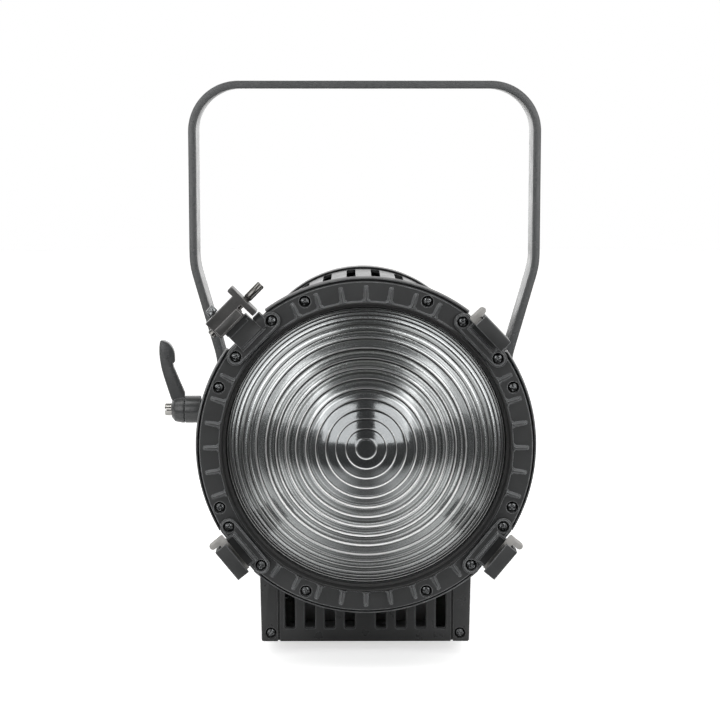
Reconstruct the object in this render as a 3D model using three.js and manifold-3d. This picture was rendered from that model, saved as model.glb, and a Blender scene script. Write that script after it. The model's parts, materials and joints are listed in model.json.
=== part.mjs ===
// LED fresnel spotlight with an eight inch lens, in a tilting yoke.
// Units are millimetres and +Z is up. The origin lies on the base's underside, straight below the
// tilt pivots. The beam leaves towards -Y, so the lens faces -Y and the controls face +Y.
// Every piece is drawn about the lens axis at z = 0, and the assembly is lifted at the end.
import * as THREE from "three";
import { mergeVertices } from "three/addons/utils/BufferGeometryUtils.js";
import Module from "manifold-3d";

const wasm = await Module();
wasm.setup();

// ---------------------------------------------------------------- driving dimensions

const FIT = 0.3; // clearance between neighbouring pieces
const ROUND = 48; // segments of the large turned castings

const SEAM_Y = -160; // plane where the bezel meets the front casting
const OPENING_R = 101; // clear opening of the bezel in front of the lens
const LENS_R = 102.5;
const LENS_FACE_R = 100; // stepped face: the eight inch lens of this kind of lamp
const BEZEL_R = 120;
const FLANGE_R = 122.4;
const BEZEL_THICK = 6;
const FACE_Y = SEAM_Y - BEZEL_THICK; // flat front face of the bezel
const SCREW_CIRCLE_R = 113.5;
const RIB_PITCH = 9; // degrees between the radial ribs of the bezel

const DRUM_R = 97.8;
const DRUM_WALL = 2.5;
const DRUM_FRONT_Y = -111.7;
const DRUM_REAR_Y = 198;
const COVER_R = 99.6; // rear cover
const VENT_PITCH = 12.4; // degrees between the long vents of the drum
const RAIL_R = 86; // circle of the guide rods and the lead screw
const RAIL_ANGLES = [30, 150]; // degrees, seen from the front
const BULKHEAD_Y = 150;
const FAN_R = 50;

const BASE_HALF = 78.9; // half width of the base box, where it leaves the drum
const BASE_BOTTOM_Z = -157.7;
const BASE_DRAFT = 0.019; // inward lean of the base walls per millimetre down
const BASE_FRONT_Y = -110;
const BASE_REAR_Y = 175;

const TILT_Z = 2; // height of the tilt pivots over the lens axis
const YOKE_WIDTH = 38;
const YOKE_THICK = 6;
const YOKE_HALF = 136.6; // outside of the upright arms
const YOKE_TOP_Z = 261;
const YOKE_CORNER_R = 39;
const YOKE_BEND_Z = 119; // the arms lean inward below this height
const YOKE_FOOT_HALF = 115.5; // outside of the arms at the pivots
const YOKE_FOOT_Z = 44.7;

// Each fixed bracket's spring has its leg on one side, which is the bracket's upper end.
const BRACKETS = [
  { name: "upper_right", angle: 43.8, leg: -1 },
  { name: "upper_left", angle: 135.3 },
  { name: "lower_left", angle: 219.2, leg: 1 },
  { name: "lower_right", angle: -39.2, leg: -1 },
];
const BRACKET_SCREW_T = 18.1; // tangential distance of a bracket's screws from its middle
const BRACKET_SCREW_R = 112.1; // their distance from the lens axis, square to that
const BRACKET_HALF = 12.8;
const BRACKET_LIP_Y = -192.5;

const PIN_R = 135.5; // the gate's hinge pin, square distance from the lens axis
const PIN_Y = -177;

// ---------------------------------------------------------------- solids and meshes

const rad = THREE.MathUtils.degToRad;

/** A welded solid from a three.js geometry, with its faces turned outward. */
function solid(geometry) {
  const bare = geometry.clone();
  bare.deleteAttribute("normal");
  bare.deleteAttribute("uv");
  const welded = mergeVertices(bare, 1e-4);
  const corners = welded.index.array;
  const kept = [];
  for (let i = 0; i < corners.length; i += 3) {
    const [a, b, c] = [corners[i], corners[i + 1], corners[i + 2]];
    if (a !== b && b !== c && a !== c) kept.push(a, b, c);
  }
  const build = (order) =>
    new wasm.Manifold(
      new wasm.Mesh({
        numProp: 3,
        vertProperties: welded.attributes.position.array,
        triVerts: new Uint32Array(order),
      }),
    );
  const made = build(kept);
  return made.volume() < 0 ? build(kept.reverse()) : made;
}

const join = (first, ...rest) => rest.reduce((all, one) => all.add(one), first);
const cut = (first, ...rest) => rest.reduce((all, one) => all.subtract(one), first);

/** A block between low and high corners, each [x, y, z]. */
function block(low, high) {
  const size = high.map((value, i) => value - low[i]);
  const middle = high.map((value, i) => (value + low[i]) / 2);
  return solid(new THREE.BoxGeometry(...size).translate(...middle));
}

/** A body of revolution about the Y axis. The profile holds [radius, y] points. */
function turned(profile, segments = ROUND) {
  const open = profile[0][0] === 0;
  const loop = open ? profile : [...profile, profile[0]];
  const points = loop.map(([radius, y]) => new THREE.Vector2(radius, y));
  return solid(new THREE.LatheGeometry(points, segments));
}

/** A straight round rod along Y, centred on x and z. */
function rod(radius, y0, y1, segments = 12, x = 0, z = 0) {
  const shape = new THREE.CylinderGeometry(radius, radius, y1 - y0, segments);
  return solid(shape.translate(x, (y0 + y1) / 2, z));
}

/** A straight round rod along X, centred on y and z. */
function crossRod(radius, x0, x1, segments = 12, y = 0, z = 0) {
  const shape = new THREE.CylinderGeometry(radius, radius, x1 - x0, segments);
  return solid(shape.rotateZ(Math.PI / 2).translate((x0 + x1) / 2, y, z));
}

/** A body of revolution about an axis along X through the tilt pivots, as [radius, x] points. */
function turnedAcross(profile, segments) {
  const open = profile[0][0] === 0;
  const loop = open ? profile : [...profile, profile[0]];
  const points = loop.map(([radius, x]) => new THREE.Vector2(radius, x));
  const shape = new THREE.LatheGeometry(points, segments).rotateZ(-Math.PI / 2);
  return solid(shape.translate(0, 0, TILT_Z));
}

/** A plate with an outline in X and Z, between two Y planes. */
function plate(shape, y0, y1, curveSegments = 6) {
  const options = { depth: y1 - y0, bevelEnabled: false, curveSegments };
  return solid(new THREE.ExtrudeGeometry(shape, options).rotateX(Math.PI / 2).translate(0, y1, 0));
}

/** A closed outline through [x, z] points. */
function outline(points) {
  return new THREE.Shape(points.map(([x, z]) => new THREE.Vector2(x, z)));
}

/** A slot outline with round ends: two half circles of one radius, centred on a and b. */
function stadium(a, b, radius) {
  const along = Math.atan2(b[1] - a[1], b[0] - a[0]);
  const shape = new THREE.Shape();
  shape.absarc(b[0], b[1], radius, along - Math.PI / 2, along + Math.PI / 2, false);
  shape.absarc(a[0], a[1], radius, along + Math.PI / 2, along + (3 * Math.PI) / 2, false);
  return shape;
}

/** The same solid turned about the lens axis, so that its +Z side points to an angle. */
const spun = (shape, angle) => shape.rotate([0, 90 - angle, 0]);

/** The place on the lens axis circle at an angle, seen from the front. */
const onCircle = (radius, angle) => [radius * Math.cos(rad(angle)), radius * Math.sin(rad(angle))];

const FINISH = {
  satinBlack: { color: 0x2b2c2d, roughness: 0.5, metalness: 0.2 },
  texturedBlack: { color: 0x2a2b2c, roughness: 0.65, metalness: 0.2 },
  greyPaint: { color: 0x4a4b4c, roughness: 0.5, metalness: 0.3 },
  blackScrew: { color: 0x1b1b1c, roughness: 0.4, metalness: 0.8 },
  steel: { color: 0xb9b9b7, roughness: 0.3, metalness: 1 },
  aluminium: { color: 0xa9abad, roughness: 0.4, metalness: 1 },
  glass: { color: 0xdfe6e6, roughness: 0.05, metalness: 0 },
  rubber: { color: 0x1a1a1a, roughness: 0.9, metalness: 0 },
  plastic: { color: 0x1c1c1d, roughness: 0.45, metalness: 0 },
  board: { color: 0x1f4a30, roughness: 0.6, metalness: 0 },
  phosphor: { color: 0xe3c34a, roughness: 0.6, metalness: 0 },
  fibre: { color: 0x6b5b45, roughness: 0.9, metalness: 0 },
};

/** A named mesh of a solid, in one of the finishes. */
function piece(name, shape, finish) {
  const { vertProperties, triVerts } = shape.getMesh();
  const geometry = new THREE.BufferGeometry();
  geometry.setAttribute("position", new THREE.BufferAttribute(vertProperties, 3));
  geometry.setIndex(new THREE.BufferAttribute(triVerts, 1));
  geometry.computeVertexNormals();
  const mesh = new THREE.Mesh(geometry, new THREE.MeshStandardMaterial(finish));
  mesh.name = name;
  return mesh;
}

// ---------------------------------------------------------------- screws

const SCREW = { headR: 3.8, headHeight: 1.8, shankR: 2, shankLength: 11, recessR: 4.3, holeR: 2.3 };

/** A pan head screw along Y. Its head rests on y = 0 and faces -Y. */
function screwBody() {
  const top = -SCREW.headHeight;
  return turned(
    [
      [0, top],
      [SCREW.headR * 0.8, top],
      [SCREW.headR, top + 0.7],
      [SCREW.headR, 0],
      [SCREW.shankR, 0],
      [SCREW.shankR, SCREW.shankLength],
      [0, SCREW.shankLength],
    ],
    8,
  );
}
const screwShape = screwBody();

/** A screw whose head rests on the plane y, at x and z. */
function screw(name, x, y, z) {
  const mesh = piece(name, screwShape, FINISH.blackScrew);
  mesh.position.set(x, y, z);
  return mesh;
}

/** A stepped hole for a screw whose head rests on the plane y. */
function screwHole(x, y, z) {
  return join(
    rod(SCREW.recessR, y - 12, y + FIT, 10, x, z),
    rod(SCREW.holeR, y - 1, y + SCREW.shankLength + 1, 8, x, z),
  );
}

const BEZEL_SCREW_Y = FACE_Y + 3;
const BRACKET_BASE_Y = FACE_Y - FIT; // back of the bracket tabs
const BRACKET_TAB_Y = BRACKET_BASE_Y - 4; // front of the bracket tabs
const BRACKET_SCREW_Y = BRACKET_TAB_Y + 2.3;

const bezelScrewPlaces = Array.from({ length: 8 }, (_, i) => onCircle(SCREW_CIRCLE_R, 22.5 + 45 * i));
const bracketScrewPlaces = BRACKETS.flatMap(({ angle }) => {
  const reach = Math.hypot(BRACKET_SCREW_T, BRACKET_SCREW_R);
  const aside = THREE.MathUtils.radToDeg(Math.atan2(BRACKET_SCREW_T, BRACKET_SCREW_R));
  return [onCircle(reach, angle + aside), onCircle(reach, angle - aside)];
});

// ---------------------------------------------------------------- front end: casting, lens, bezel

/** The die-cast front: a flange for the bezel, a cone, and a collar over the drum. */
function frontCasting() {
  const flangeY = SEAM_Y + FIT;
  const seatY = -152.7;
  const collarR = 103.5;
  const drumSeatR = DRUM_R + 0.4;
  let body = turned([
    [104, flangeY],
    [FLANGE_R, flangeY],
    [FLANGE_R, -157.4],
    [118, -150],
    [collarR, -119],
    [collarR, -104],
    [drumSeatR, -104],
    [drumSeatR, DRUM_FRONT_Y - FIT],
    [80, DRUM_FRONT_Y - FIT],
    [80, -116],
    [98, -116],
    [98, seatY],
    [104, seatY],
  ]);
  const notch = block([-19.5, flangeY - 1, 118.6], [19.5, -148, 130]);
  for (const { angle } of BRACKETS) body = body.subtract(spun(notch, angle));
  for (const [x, z] of bezelScrewPlaces) body = body.subtract(screwHole(x, BEZEL_SCREW_Y, z));
  for (const [x, z] of bracketScrewPlaces) body = body.subtract(screwHole(x, BRACKET_SCREW_Y, z));
  for (const angle of RAIL_ANGLES) {
    const [x, z] = onCircle(RAIL_R, angle);
    body = body.subtract(rod(3.4, -120, -105, 8, x, z));
  }
  return body.subtract(rod(4.6, -120, -105, 8, 0, -RAIL_R));
}

/** The bezel that clamps the lens: a flat ring with a raised lip and radial ribs. */
function lensBezel() {
  const lipY = FACE_Y - 3;
  let body = turned([
    [OPENING_R - 0.4, SEAM_Y],
    [BEZEL_R, SEAM_Y],
    [BEZEL_R, FACE_Y + 0.8],
    [BEZEL_R - 0.8, FACE_Y],
    [105.4, FACE_Y],
    [104.8, lipY],
    [103.6, lipY],
    [OPENING_R, SEAM_Y - 2],
  ]);
  const rib = block([-1, lipY + 0.4, 104.5], [1, FACE_Y + 1, 117]);
  const clearOfBrackets = (angle) =>
    BRACKETS.every((b) => Math.abs(((angle - b.angle + 540) % 360) - 180) > 13);
  for (let angle = 0; angle < 360; angle += RIB_PITCH) {
    if (clearOfBrackets(angle)) body = body.add(spun(rib, angle));
  }
  for (const [x, z] of bezelScrewPlaces) body = body.subtract(screwHole(x, BEZEL_SCREW_Y, z));
  for (const [x, z] of bracketScrewPlaces) {
    body = body.subtract(rod(SCREW.holeR, FACE_Y - 1, SEAM_Y + 1, 8, x, z));
  }
  return body;
}

/** The stepped lens: a flat back, and rings whose faces follow a shallow dome. */
function fresnelLens() {
  const backY = -153;
  const rimY = -157;
  const rings = 7;
  const domeHeight = 13;
  const step = 1.4;
  const front = (r) => rimY - 1 - domeHeight * (1 - (r / LENS_FACE_R) ** 2);
  const profile = [
    [0, backY],
    [LENS_R, backY],
    [LENS_R, rimY],
    [LENS_FACE_R, rimY],
  ];
  for (let ring = rings; ring > 0; ring--) {
    const outer = (LENS_FACE_R * ring) / rings;
    const inner = (LENS_FACE_R * (ring - 1)) / rings;
    profile.push([outer, front(outer) + (ring < rings ? step : 0)], [inner, front(inner)]);
  }
  return turned(profile, 40);
}

const lensGasket = () =>
  turned(
    [
      [OPENING_R, -159.6],
      [103.6, -159.6],
      [103.6, -157.3],
      [OPENING_R, -157.3],
    ],
    24,
  );

// ---------------------------------------------------------------- accessory brackets and gate
// These are drawn with the bracket at the top: X is tangential and Z points away from the axis.

/** The flat tab under a bracket, with round ends about its two screws. */
function bracketTab() {
  const ends = [
    [-BRACKET_SCREW_T, BRACKET_SCREW_R],
    [BRACKET_SCREW_T, BRACKET_SCREW_R],
  ];
  const tab = plate(stadium(...ends, 6.3), BRACKET_TAB_Y, BRACKET_BASE_Y, 5);
  return { tab, holes: ends.map(([x, z]) => screwHole(x, BRACKET_SCREW_Y, z)) };
}

/** A fixed bracket: a channel with an outer wall and a lip that holds the accessory frame. */
function accessoryBracket() {
  const { tab, holes } = bracketTab();
  const half = BRACKET_HALF;
  const floorY = -172;
  const channel = outline([
    [BRACKET_BASE_Y, 110.8],
    [floorY - 2.5, 110.8],
    [floorY - 2.5, 112.8],
    [floorY, 113.2],
    [floorY, 124.8],
    [BRACKET_LIP_Y + 2, 124.8],
    [BRACKET_LIP_Y + 2, 116.7],
    [BRACKET_LIP_Y, 116.7],
    [BRACKET_LIP_Y, 126.4],
    [BRACKET_LIP_Y + 0.8, 127.2],
    [BRACKET_BASE_Y, 127.2],
  ]);
  const options = { depth: 2 * half, bevelEnabled: false };
  const long = new THREE.ExtrudeGeometry(channel, options).translate(0, 0, -half);
  // The channel is drawn with Y across and Z up the page, then turned to run along X.
  long.applyMatrix4(new THREE.Matrix4().set(0, 0, 1, 0, 1, 0, 0, 0, 0, 1, 0, 0, 0, 0, 0, 1));
  return cut(join(tab, solid(long)), ...holes);
}

/** The leaf spring in a fixed bracket: a bar with one leg past the bracket's upper end. */
function leafSpring(side) {
  const [inside, outside, plainEnd] = [13.3, 18.4, 12.4];
  const [barR, barTop, legTop] = [117.6, 123.4, 130.4];
  const middle = (inside + outside) / 2;
  const points = [
    [-plainEnd, barR],
    [outside - 1.5, barR],
    [outside, barR + 1.5],
    [outside, legTop - 2],
    [middle + 1, legTop],
    [middle - 1, legTop],
    [inside, legTop - 2],
    [inside, barTop],
    [-plainEnd, barTop],
  ];
  return plate(outline(points.map(([x, z]) => [side * x, z])), -178.8, -178);
}

/** The upper left bracket, which carries the gate's hinge in a knuckle. */
function gateBracket() {
  const { tab, holes } = bracketTab();
  const half = 11.2;
  const floor = block([-half, -172, 111], [half, BRACKET_BASE_Y, 129]);
  const rim = block([-half, -174.5, 111], [half, -171, 113]);
  const web = block([-10.5, -174.5, 126], [7, BRACKET_BASE_Y, PIN_R + 1]);
  const knuckle = crossRod(4.5, -10.5, 7, 12, PIN_Y, PIN_R);
  const bore = crossRod(2.7, -12, 12, 12, PIN_Y, PIN_R);
  return cut(join(tab, floor, rim, web, knuckle), bore, ...holes);
}

/** The hinged gate: a front plate, two ears on the pin and an outer flange for the plunger. */
function latchGate() {
  const [plateFront, plateBack] = [-188, -185.8];
  const front = block([-14, plateFront, 129], [17.4, plateBack, 144.2]);
  const leftEar = block([-14, plateFront, 131], [-11.4, -172.6, 140.5]);
  const rightEar = block([12.2, plateFront, 124.4], [17.4, -172.6, 149.4]);
  const flange = block([-14, plateFront, 142], [12.4, -177.5, 144.2]);
  const bore = crossRod(2.7, -16, 20, 12, PIN_Y, PIN_R);
  const plungerHole = solid(
    new THREE.CylinderGeometry(2, 2, 6, 8).rotateX(Math.PI / 2).translate(-5.6, -180.5, 143),
  );
  return cut(join(front, leftEar, rightEar, flange), bore, plungerHole);
}

/** The knurled spring plunger on the gate, along the radius, with its nose toward the knuckle. */
function gatePlunger() {
  const profile = [
    [0, 140.6],
    [1.6, 140.6],
    [1.6, 144.6],
    [3.5, 144.6],
    [3.5, 150],
    [0, 150],
  ];
  const points = profile.map(([radius, along]) => new THREE.Vector2(radius, along));
  const shape = new THREE.LatheGeometry(points, 10).rotateX(Math.PI / 2);
  return solid(shape.translate(-5.6, -180.5, 0));
}

const gateHingePin = () =>
  join(crossRod(2.4, -16, 31, 12, PIN_Y, PIN_R), crossRod(3.1, -18, -15.6, 10, PIN_Y, PIN_R));

const gateSpring = () => cut(
  crossRod(4.3, 7.5, 11.7, 12, PIN_Y, PIN_R),
  crossRod(2.8, 6, 13, 12, PIN_Y, PIN_R),
);

// ---------------------------------------------------------------- drum and rear

/** The drum: a tube with long vents over its top, and a boss on each side for the tilt pivots. */
function drumHousing() {
  const innerR = DRUM_R - DRUM_WALL;
  let body = turned([
    [innerR, DRUM_FRONT_Y],
    [DRUM_R, DRUM_FRONT_Y],
    [DRUM_R, DRUM_REAR_Y],
    [innerR, DRUM_REAR_Y],
  ]);
  const bore = turned([
    [0, -90],
    [innerR, -90],
    [innerR, 90],
    [0, 90],
  ]);
  for (const side of [-1, 1]) {
    const [near, far] = [side * 88, side * 107].sort((a, b) => a - b);
    const boss = crossRod(22, near, far, 20, 0, TILT_Z).subtract(bore);
    body = body.add(boss).subtract(crossRod(5.2, near, far + side, 12, 0, TILT_Z));
  }
  const rows = [
    [-90, -20],
    [104, 188],
  ];
  for (const [y0, y1] of rows) {
    const vent = block([-3.9, y0, 85], [3.9, y1, 105]);
    for (let i = -5.5; i <= 5.5; i++) body = body.subtract(spun(vent, 90 + i * VENT_PITCH));
  }
  return body.subtract(block([-22, 96, -105], [22, 140, -80])); // cable way into the base
}

/** The rear cover: a cap over the drum with a fan grille and the lead screw's bearing hole. */
function rearCover() {
  const [lipY, wallY, rearY] = [194, 206.5, 210];
  const insideR = DRUM_R + 0.4;
  let body = turned([
    [0, wallY],
    [92, wallY],
    [92, DRUM_REAR_Y + FIT],
    [insideR, DRUM_REAR_Y + FIT],
    [insideR, lipY],
    [COVER_R, lipY],
    [COVER_R, rearY - 2],
    [COVER_R - 2, rearY],
    [0, rearY],
  ]);
  for (let z = -44; z <= 44; z += 11) {
    const half = Math.sqrt(FAN_R ** 2 - z ** 2);
    body = body.subtract(block([-half, wallY - 1, z - 3], [half, rearY + 1, z + 3]));
  }
  return body.subtract(rod(4.6, 200, 215, 10, 0, -RAIL_R));
}

/** The bulkhead that carries the fan shroud, the guide rods and the lead screw. */
function fanFrame() {
  const outerR = DRUM_R - DRUM_WALL - 0.5;
  const shroudEnd = BULKHEAD_Y + 24;
  let body = turned(
    [
      [FAN_R + 2, BULKHEAD_Y],
      [outerR, BULKHEAD_Y],
      [outerR, BULKHEAD_Y + 4],
      [FAN_R + 5, BULKHEAD_Y + 4],
      [FAN_R + 5, shroudEnd],
      [FAN_R + 2, shroudEnd],
    ],
    40,
  );
  const strut = block([-2.5, shroudEnd - 3, 0], [2.5, shroudEnd, FAN_R + 3]);
  for (const angle of [90, 210, 330]) body = body.add(spun(strut, angle));
  body = body.add(rod(18, shroudEnd - 3, shroudEnd, 20));
  for (const angle of RAIL_ANGLES) {
    const [x, z] = onCircle(RAIL_R, angle);
    body = body.subtract(rod(3.4, BULKHEAD_Y - 1, BULKHEAD_Y + 6, 8, x, z));
  }
  return body.subtract(rod(4.6, BULKHEAD_Y - 1, BULKHEAD_Y + 6, 8, 0, -RAIL_R));
}

/** The fan's rotor: a hub and seven pitched blades. */
function fanRotor() {
  const [y0, y1] = [BULKHEAD_Y + 4, BULKHEAD_Y + 19];
  let body = rod(17, y0, y1, 20);
  const flat = block([-9, -0.8, 15], [9, 0.8, FAN_R]);
  const blade = flat.rotate([0, 0, 35]).translate([0, (y0 + y1) / 2, 0]);
  for (let i = 0; i < 7; i++) body = body.add(blade.rotate([0, (360 / 7) * i, 0]));
  return body.intersect(rod(FAN_R, y0 - 2, y1 + 2, 32));
}

function guideRod(angle) {
  const [x, z] = onCircle(RAIL_R, angle);
  return rod(3, -115.5, BULKHEAD_Y + 3.5, 10, x, z);
}

// ---------------------------------------------------------------- light engine on its carriage

const HEATSINK_Y = -6; // front of the heatsink at rest, with the beam at its narrowest

/** The finned heatsink, with three lugs that ride the guide rods and the lead screw. */
function carriageHeatsink() {
  let body = rod(62, HEATSINK_Y, HEATSINK_Y + 8, 36);
  for (let i = -7; i <= 7; i++) {
    const x = i * 7.5;
    const half = Math.sqrt(60 ** 2 - x ** 2) - 2;
    body = body.add(block([x - 1, HEATSINK_Y + 7, -half], [x + 1, HEATSINK_Y + 56, half]));
  }
  const lug = block([-7, HEATSINK_Y, 56], [7, HEATSINK_Y + 8, 91]);
  for (const angle of [...RAIL_ANGLES, -90]) {
    const [x, z] = onCircle(RAIL_R, angle);
    const holeR = angle < 0 ? 4.6 : 3.5;
    body = body.add(spun(lug, angle)).subtract(rod(holeR, HEATSINK_Y - 1, HEATSINK_Y + 9, 10, x, z));
  }
  return body;
}

const ledModule = () => join(
  rod(32, HEATSINK_Y - 2.3, HEATSINK_Y - FIT, 28),
  rod(13, HEATSINK_Y - 3.8, HEATSINK_Y - 2, 20),
);

const reflector = () =>
  turned(
    [
      [14.5, HEATSINK_Y - 2.6],
      [16.5, HEATSINK_Y - 2.6],
      [36, -44],
      [34.2, -44],
    ],
    28,
  );

/** The focus knob at the rear, on the lead screw that moves the carriage. */
function focusKnob() {
  const grip = rod(12, 210.4, 225, 16, 0, -RAIL_R);
  const screwEnd = -110;
  return join(grip, rod(4, screwEnd, 211, 10, 0, -RAIL_R));
}

// ---------------------------------------------------------------- base box

/** Half width of the base at a height, for walls that lean in toward the bottom. */
const baseHalf = (z) => BASE_HALF - BASE_DRAFT * (-113 - z);

/** The outline of the base in X and Z, set in by a margin, with small bottom corners. */
function baseOutline(inset, topZ) {
  const bottom = BASE_BOTTOM_Z + inset;
  const corner = 1.5;
  const right = [
    [baseHalf(bottom) - inset - corner, bottom],
    [baseHalf(bottom + corner) - inset, bottom + corner],
    [baseHalf(topZ) - inset, topZ],
  ];
  const left = right.map(([x, z]) => [-x, z]).reverse();
  return [...left, ...right];
}

const BASE_SCREW = { x: 71, z: -151.2, y: BASE_FRONT_Y + 2.5 };
const BASE_WALL = 2.5;
const BASE_PANEL = 6; // thickness of the front panel
const baseScrewPlaces = [-1, 1].map((side) => [side * BASE_SCREW.x, BASE_SCREW.z]);

/** The trough under the drum, open at the front and rear. */
function baseShell() {
  const y0 = BASE_FRONT_Y + BASE_PANEL + FIT;
  const topZ = -50;
  const outer = plate(outline(baseOutline(0, topZ)), y0, BASE_REAR_Y);
  const inner = plate(outline(baseOutline(BASE_WALL, topZ + 10)), y0 - 1, BASE_REAR_Y + 1);
  const drum = turned([
    [0, -130],
    [DRUM_R + FIT, -130],
    [DRUM_R + FIT, 190],
    [0, 190],
  ]);
  let body = cut(outer, inner);
  for (const [x, z] of baseScrewPlaces) {
    const post = block([x - 5.5, y0 + 1, BASE_BOTTOM_Z + 1], [x + 5.5, y0 + 14, z + 6]);
    body = body.add(post.intersect(outer)).subtract(rod(SCREW.holeR, y0 - 1, y0 + 11, 8, x, z));
  }
  return cut(body, drum);
}

/** An upright slot with eased lower corners. */
function ventOutline(x, half, bottom, top) {
  const corner = 1.6;
  const ease = 0.3 * corner;
  return [
    [x - half, top],
    [x - half, bottom + corner],
    [x - half + ease, bottom + ease],
    [x - half + corner, bottom],
    [x + half - corner, bottom],
    [x + half - ease, bottom + ease],
    [x + half, bottom + corner],
    [x + half, top],
  ];
}

/** The base's front panel: two corner posts beside a field of eight upright vents. */
function baseFrontPanel() {
  const rearY = BASE_FRONT_Y + BASE_PANEL;
  let body = plate(outline(baseOutline(0, -60)), BASE_FRONT_Y, rearY);
  const vent = { first: 11.65, pitch: 15, half: 3.75, bottom: -147.6, top: -105.5 };
  for (let i = 0; i < 4; i++) {
    for (const side of [-1, 1]) {
      const x = side * (vent.first + vent.pitch * i);
      const opening = outline(ventOutline(x, vent.half, vent.bottom, vent.top));
      body = body.subtract(plate(opening, BASE_FRONT_Y - 1, rearY + 1));
    }
  }
  for (const side of [-1, 1]) {
    const x = side * 65;
    body = body.subtract(block([x - 0.5, BASE_FRONT_Y - 1, -160], [x + 0.5, BASE_FRONT_Y + 1.2, -50]));
  }
  for (const [x, z] of baseScrewPlaces) body = body.subtract(screwHole(x, BASE_SCREW.y, z));
  return body.subtract(rod(104, -130, -90, 40));
}

const CONTROL_Y = [171.5, 174.5]; // back and front planes of the rear control panel

const CONTROLS = {
  display: { x: 18, z: -126, half: [20, 10] },
  power: { x: -56, z: -134 },
  data: { x: -24, z: -134 },
  dimmer: { x: 58, z: -122 },
  rocker: { x: -60, z: -98, half: [6, 8.5] },
};

/** The control panel that closes the base at the rear. */
function controlPanel() {
  const { display, power, data, dimmer, rocker } = CONTROLS;
  const [y0, y1] = CONTROL_Y;
  const through = (half, x, z) =>
    block([x - half[0], y0 - 1, z - half[1]], [x + half[0], y1 + 1, z + half[1]]);
  return cut(
    plate(outline(baseOutline(BASE_WALL + FIT, -50)), y0, y1),
    through([display.half[0] + FIT, display.half[1] + FIT], display.x, display.z),
    through([rocker.half[0] + 0.6, rocker.half[1] + 1.2], rocker.x, rocker.z),
    rod(12.4, y0 - 1, y1 + 1, 20, power.x, power.z),
    rod(12.4, y0 - 1, y1 + 1, 20, data.x, data.z),
    rod(3.5, y0 - 1, y1 + 1, 10, dimmer.x, dimmer.z),
    rod(DRUM_R + 0.6, y0 - 1, y1 + 1, 60),
  );
}

/** A panel connector: a square flange outside, a barrel inside and a round socket. */
function connector({ x, z }, socketR) {
  const outside = CONTROL_Y[1] + FIT;
  return cut(
    join(
      block([x - 13, outside, z - 13], [x + 13, outside + 2, z + 13]),
      rod(12, CONTROL_Y[0] - 14, outside + 1, 18, x, z),
    ),
    rod(socketR, CONTROL_Y[0] - 10, outside + 4, 16, x, z),
  );
}

function displayWindow() {
  const { x, z, half } = CONTROLS.display;
  return block([x - half[0], 172, z - half[1]], [x + half[0], 175, z + half[1]]);
}

function dimmerKnob() {
  const { x, z } = CONTROLS.dimmer;
  const outside = CONTROL_Y[1] + 0.6;
  return join(rod(11, outside, outside + 14, 16, x, z), rod(3, 164, outside + 1, 10, x, z));
}

/** The rocker of the power switch: a shallow V in side view, tipped to its off side. */
function powerSwitch() {
  const { x, z, half } = CONTROLS.rocker;
  const side = outline([
    [174.5, -half[1]],
    [177.6, -half[1]],
    [175.6, 0],
    [176.2, half[1]],
    [173.4, half[1]],
    [169, 3],
    [169, -3],
  ]);
  const options = { depth: 2 * half[0], bevelEnabled: false };
  const shape = new THREE.ExtrudeGeometry(side, options).translate(0, 0, -half[0]);
  shape.applyMatrix4(new THREE.Matrix4().set(0, 0, 1, 0, 1, 0, 0, 0, 0, 1, 0, 0, 0, 0, 0, 1));
  return solid(shape.translate(x, 0, z));
}

const powerSupply = () => block([-55, -60, -154.9], [55, 92, -112]);

/** The control board behind the rear panel, with its larger components. */
function controlBoard() {
  return join(
    block([-8, 158, -150], [72, 159.6, -103]),
    block([0, 159, -136], [36, 168, -116]),
    block([52, 159, -128], [64, 163.6, -116]),
    block([-4, 152, -146], [14, 158.5, -138]),
  );
}

// ---------------------------------------------------------------- yoke and tilt lock

/** The yoke: one flat bar bent to a stirrup, drawn in X and Z as wide as the bar. */
function yoke() {
  const edge = (inset) => {
    const half = YOKE_HALF - inset;
    const foot = YOKE_FOOT_HALF - inset;
    const top = YOKE_TOP_Z - inset;
    const cornerR = YOKE_CORNER_R - inset;
    const lean = inset * 0.14; // the bends of the inner edge sit a little lower
    const points = [
      [foot, TILT_Z - YOKE_WIDTH / 2],
      [foot, YOKE_FOOT_Z - lean],
      [half, YOKE_BEND_Z - lean],
    ];
    for (let i = 0; i <= 7; i++) {
      const turn = (i / 7) * (Math.PI / 2);
      const x = half - cornerR + cornerR * Math.cos(turn);
      points.push([x, top - cornerR + cornerR * Math.sin(turn)]);
    }
    return points;
  };
  const both = (points) => [...points, ...points.map(([x, z]) => [-x, z]).reverse()];
  const bar = outline([...both(edge(0)), ...both(edge(YOKE_THICK)).reverse()]);
  let body = plate(bar, -YOKE_WIDTH / 2, YOKE_WIDTH / 2);
  // Both feet are rounded about the pivots.
  const footEnd = block([-130, -25, TILT_Z - 25], [130, 25, TILT_Z]);
  const rounding = footEnd.subtract(crossRod(YOKE_WIDTH / 2, -131, 131, 24, 0, TILT_Z));
  body = body.subtract(rounding).subtract(crossRod(5.4, -131, 131, 14, 0, TILT_Z));
  for (const [x, radius] of [[0, 6.5], [-45, 5.5], [45, 5.5]]) {
    const hole = new THREE.CylinderGeometry(radius, radius, 20, 14).rotateX(Math.PI / 2);
    body = body.subtract(solid(hole.translate(x, 0, YOKE_TOP_Z)));
  }
  return body;
}

/** A friction disc between a boss of the drum and an arm of the yoke. */
function frictionDisc(side) {
  const [x0, x1] = [side * 107.3, side * 109.2].sort((a, b) => a - b);
  return cut(
    crossRod(20, x0, x1, 24, 0, TILT_Z),
    crossRod(5.2, x0 - 1, x1 + 1, 12, 0, TILT_Z),
  );
}

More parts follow.
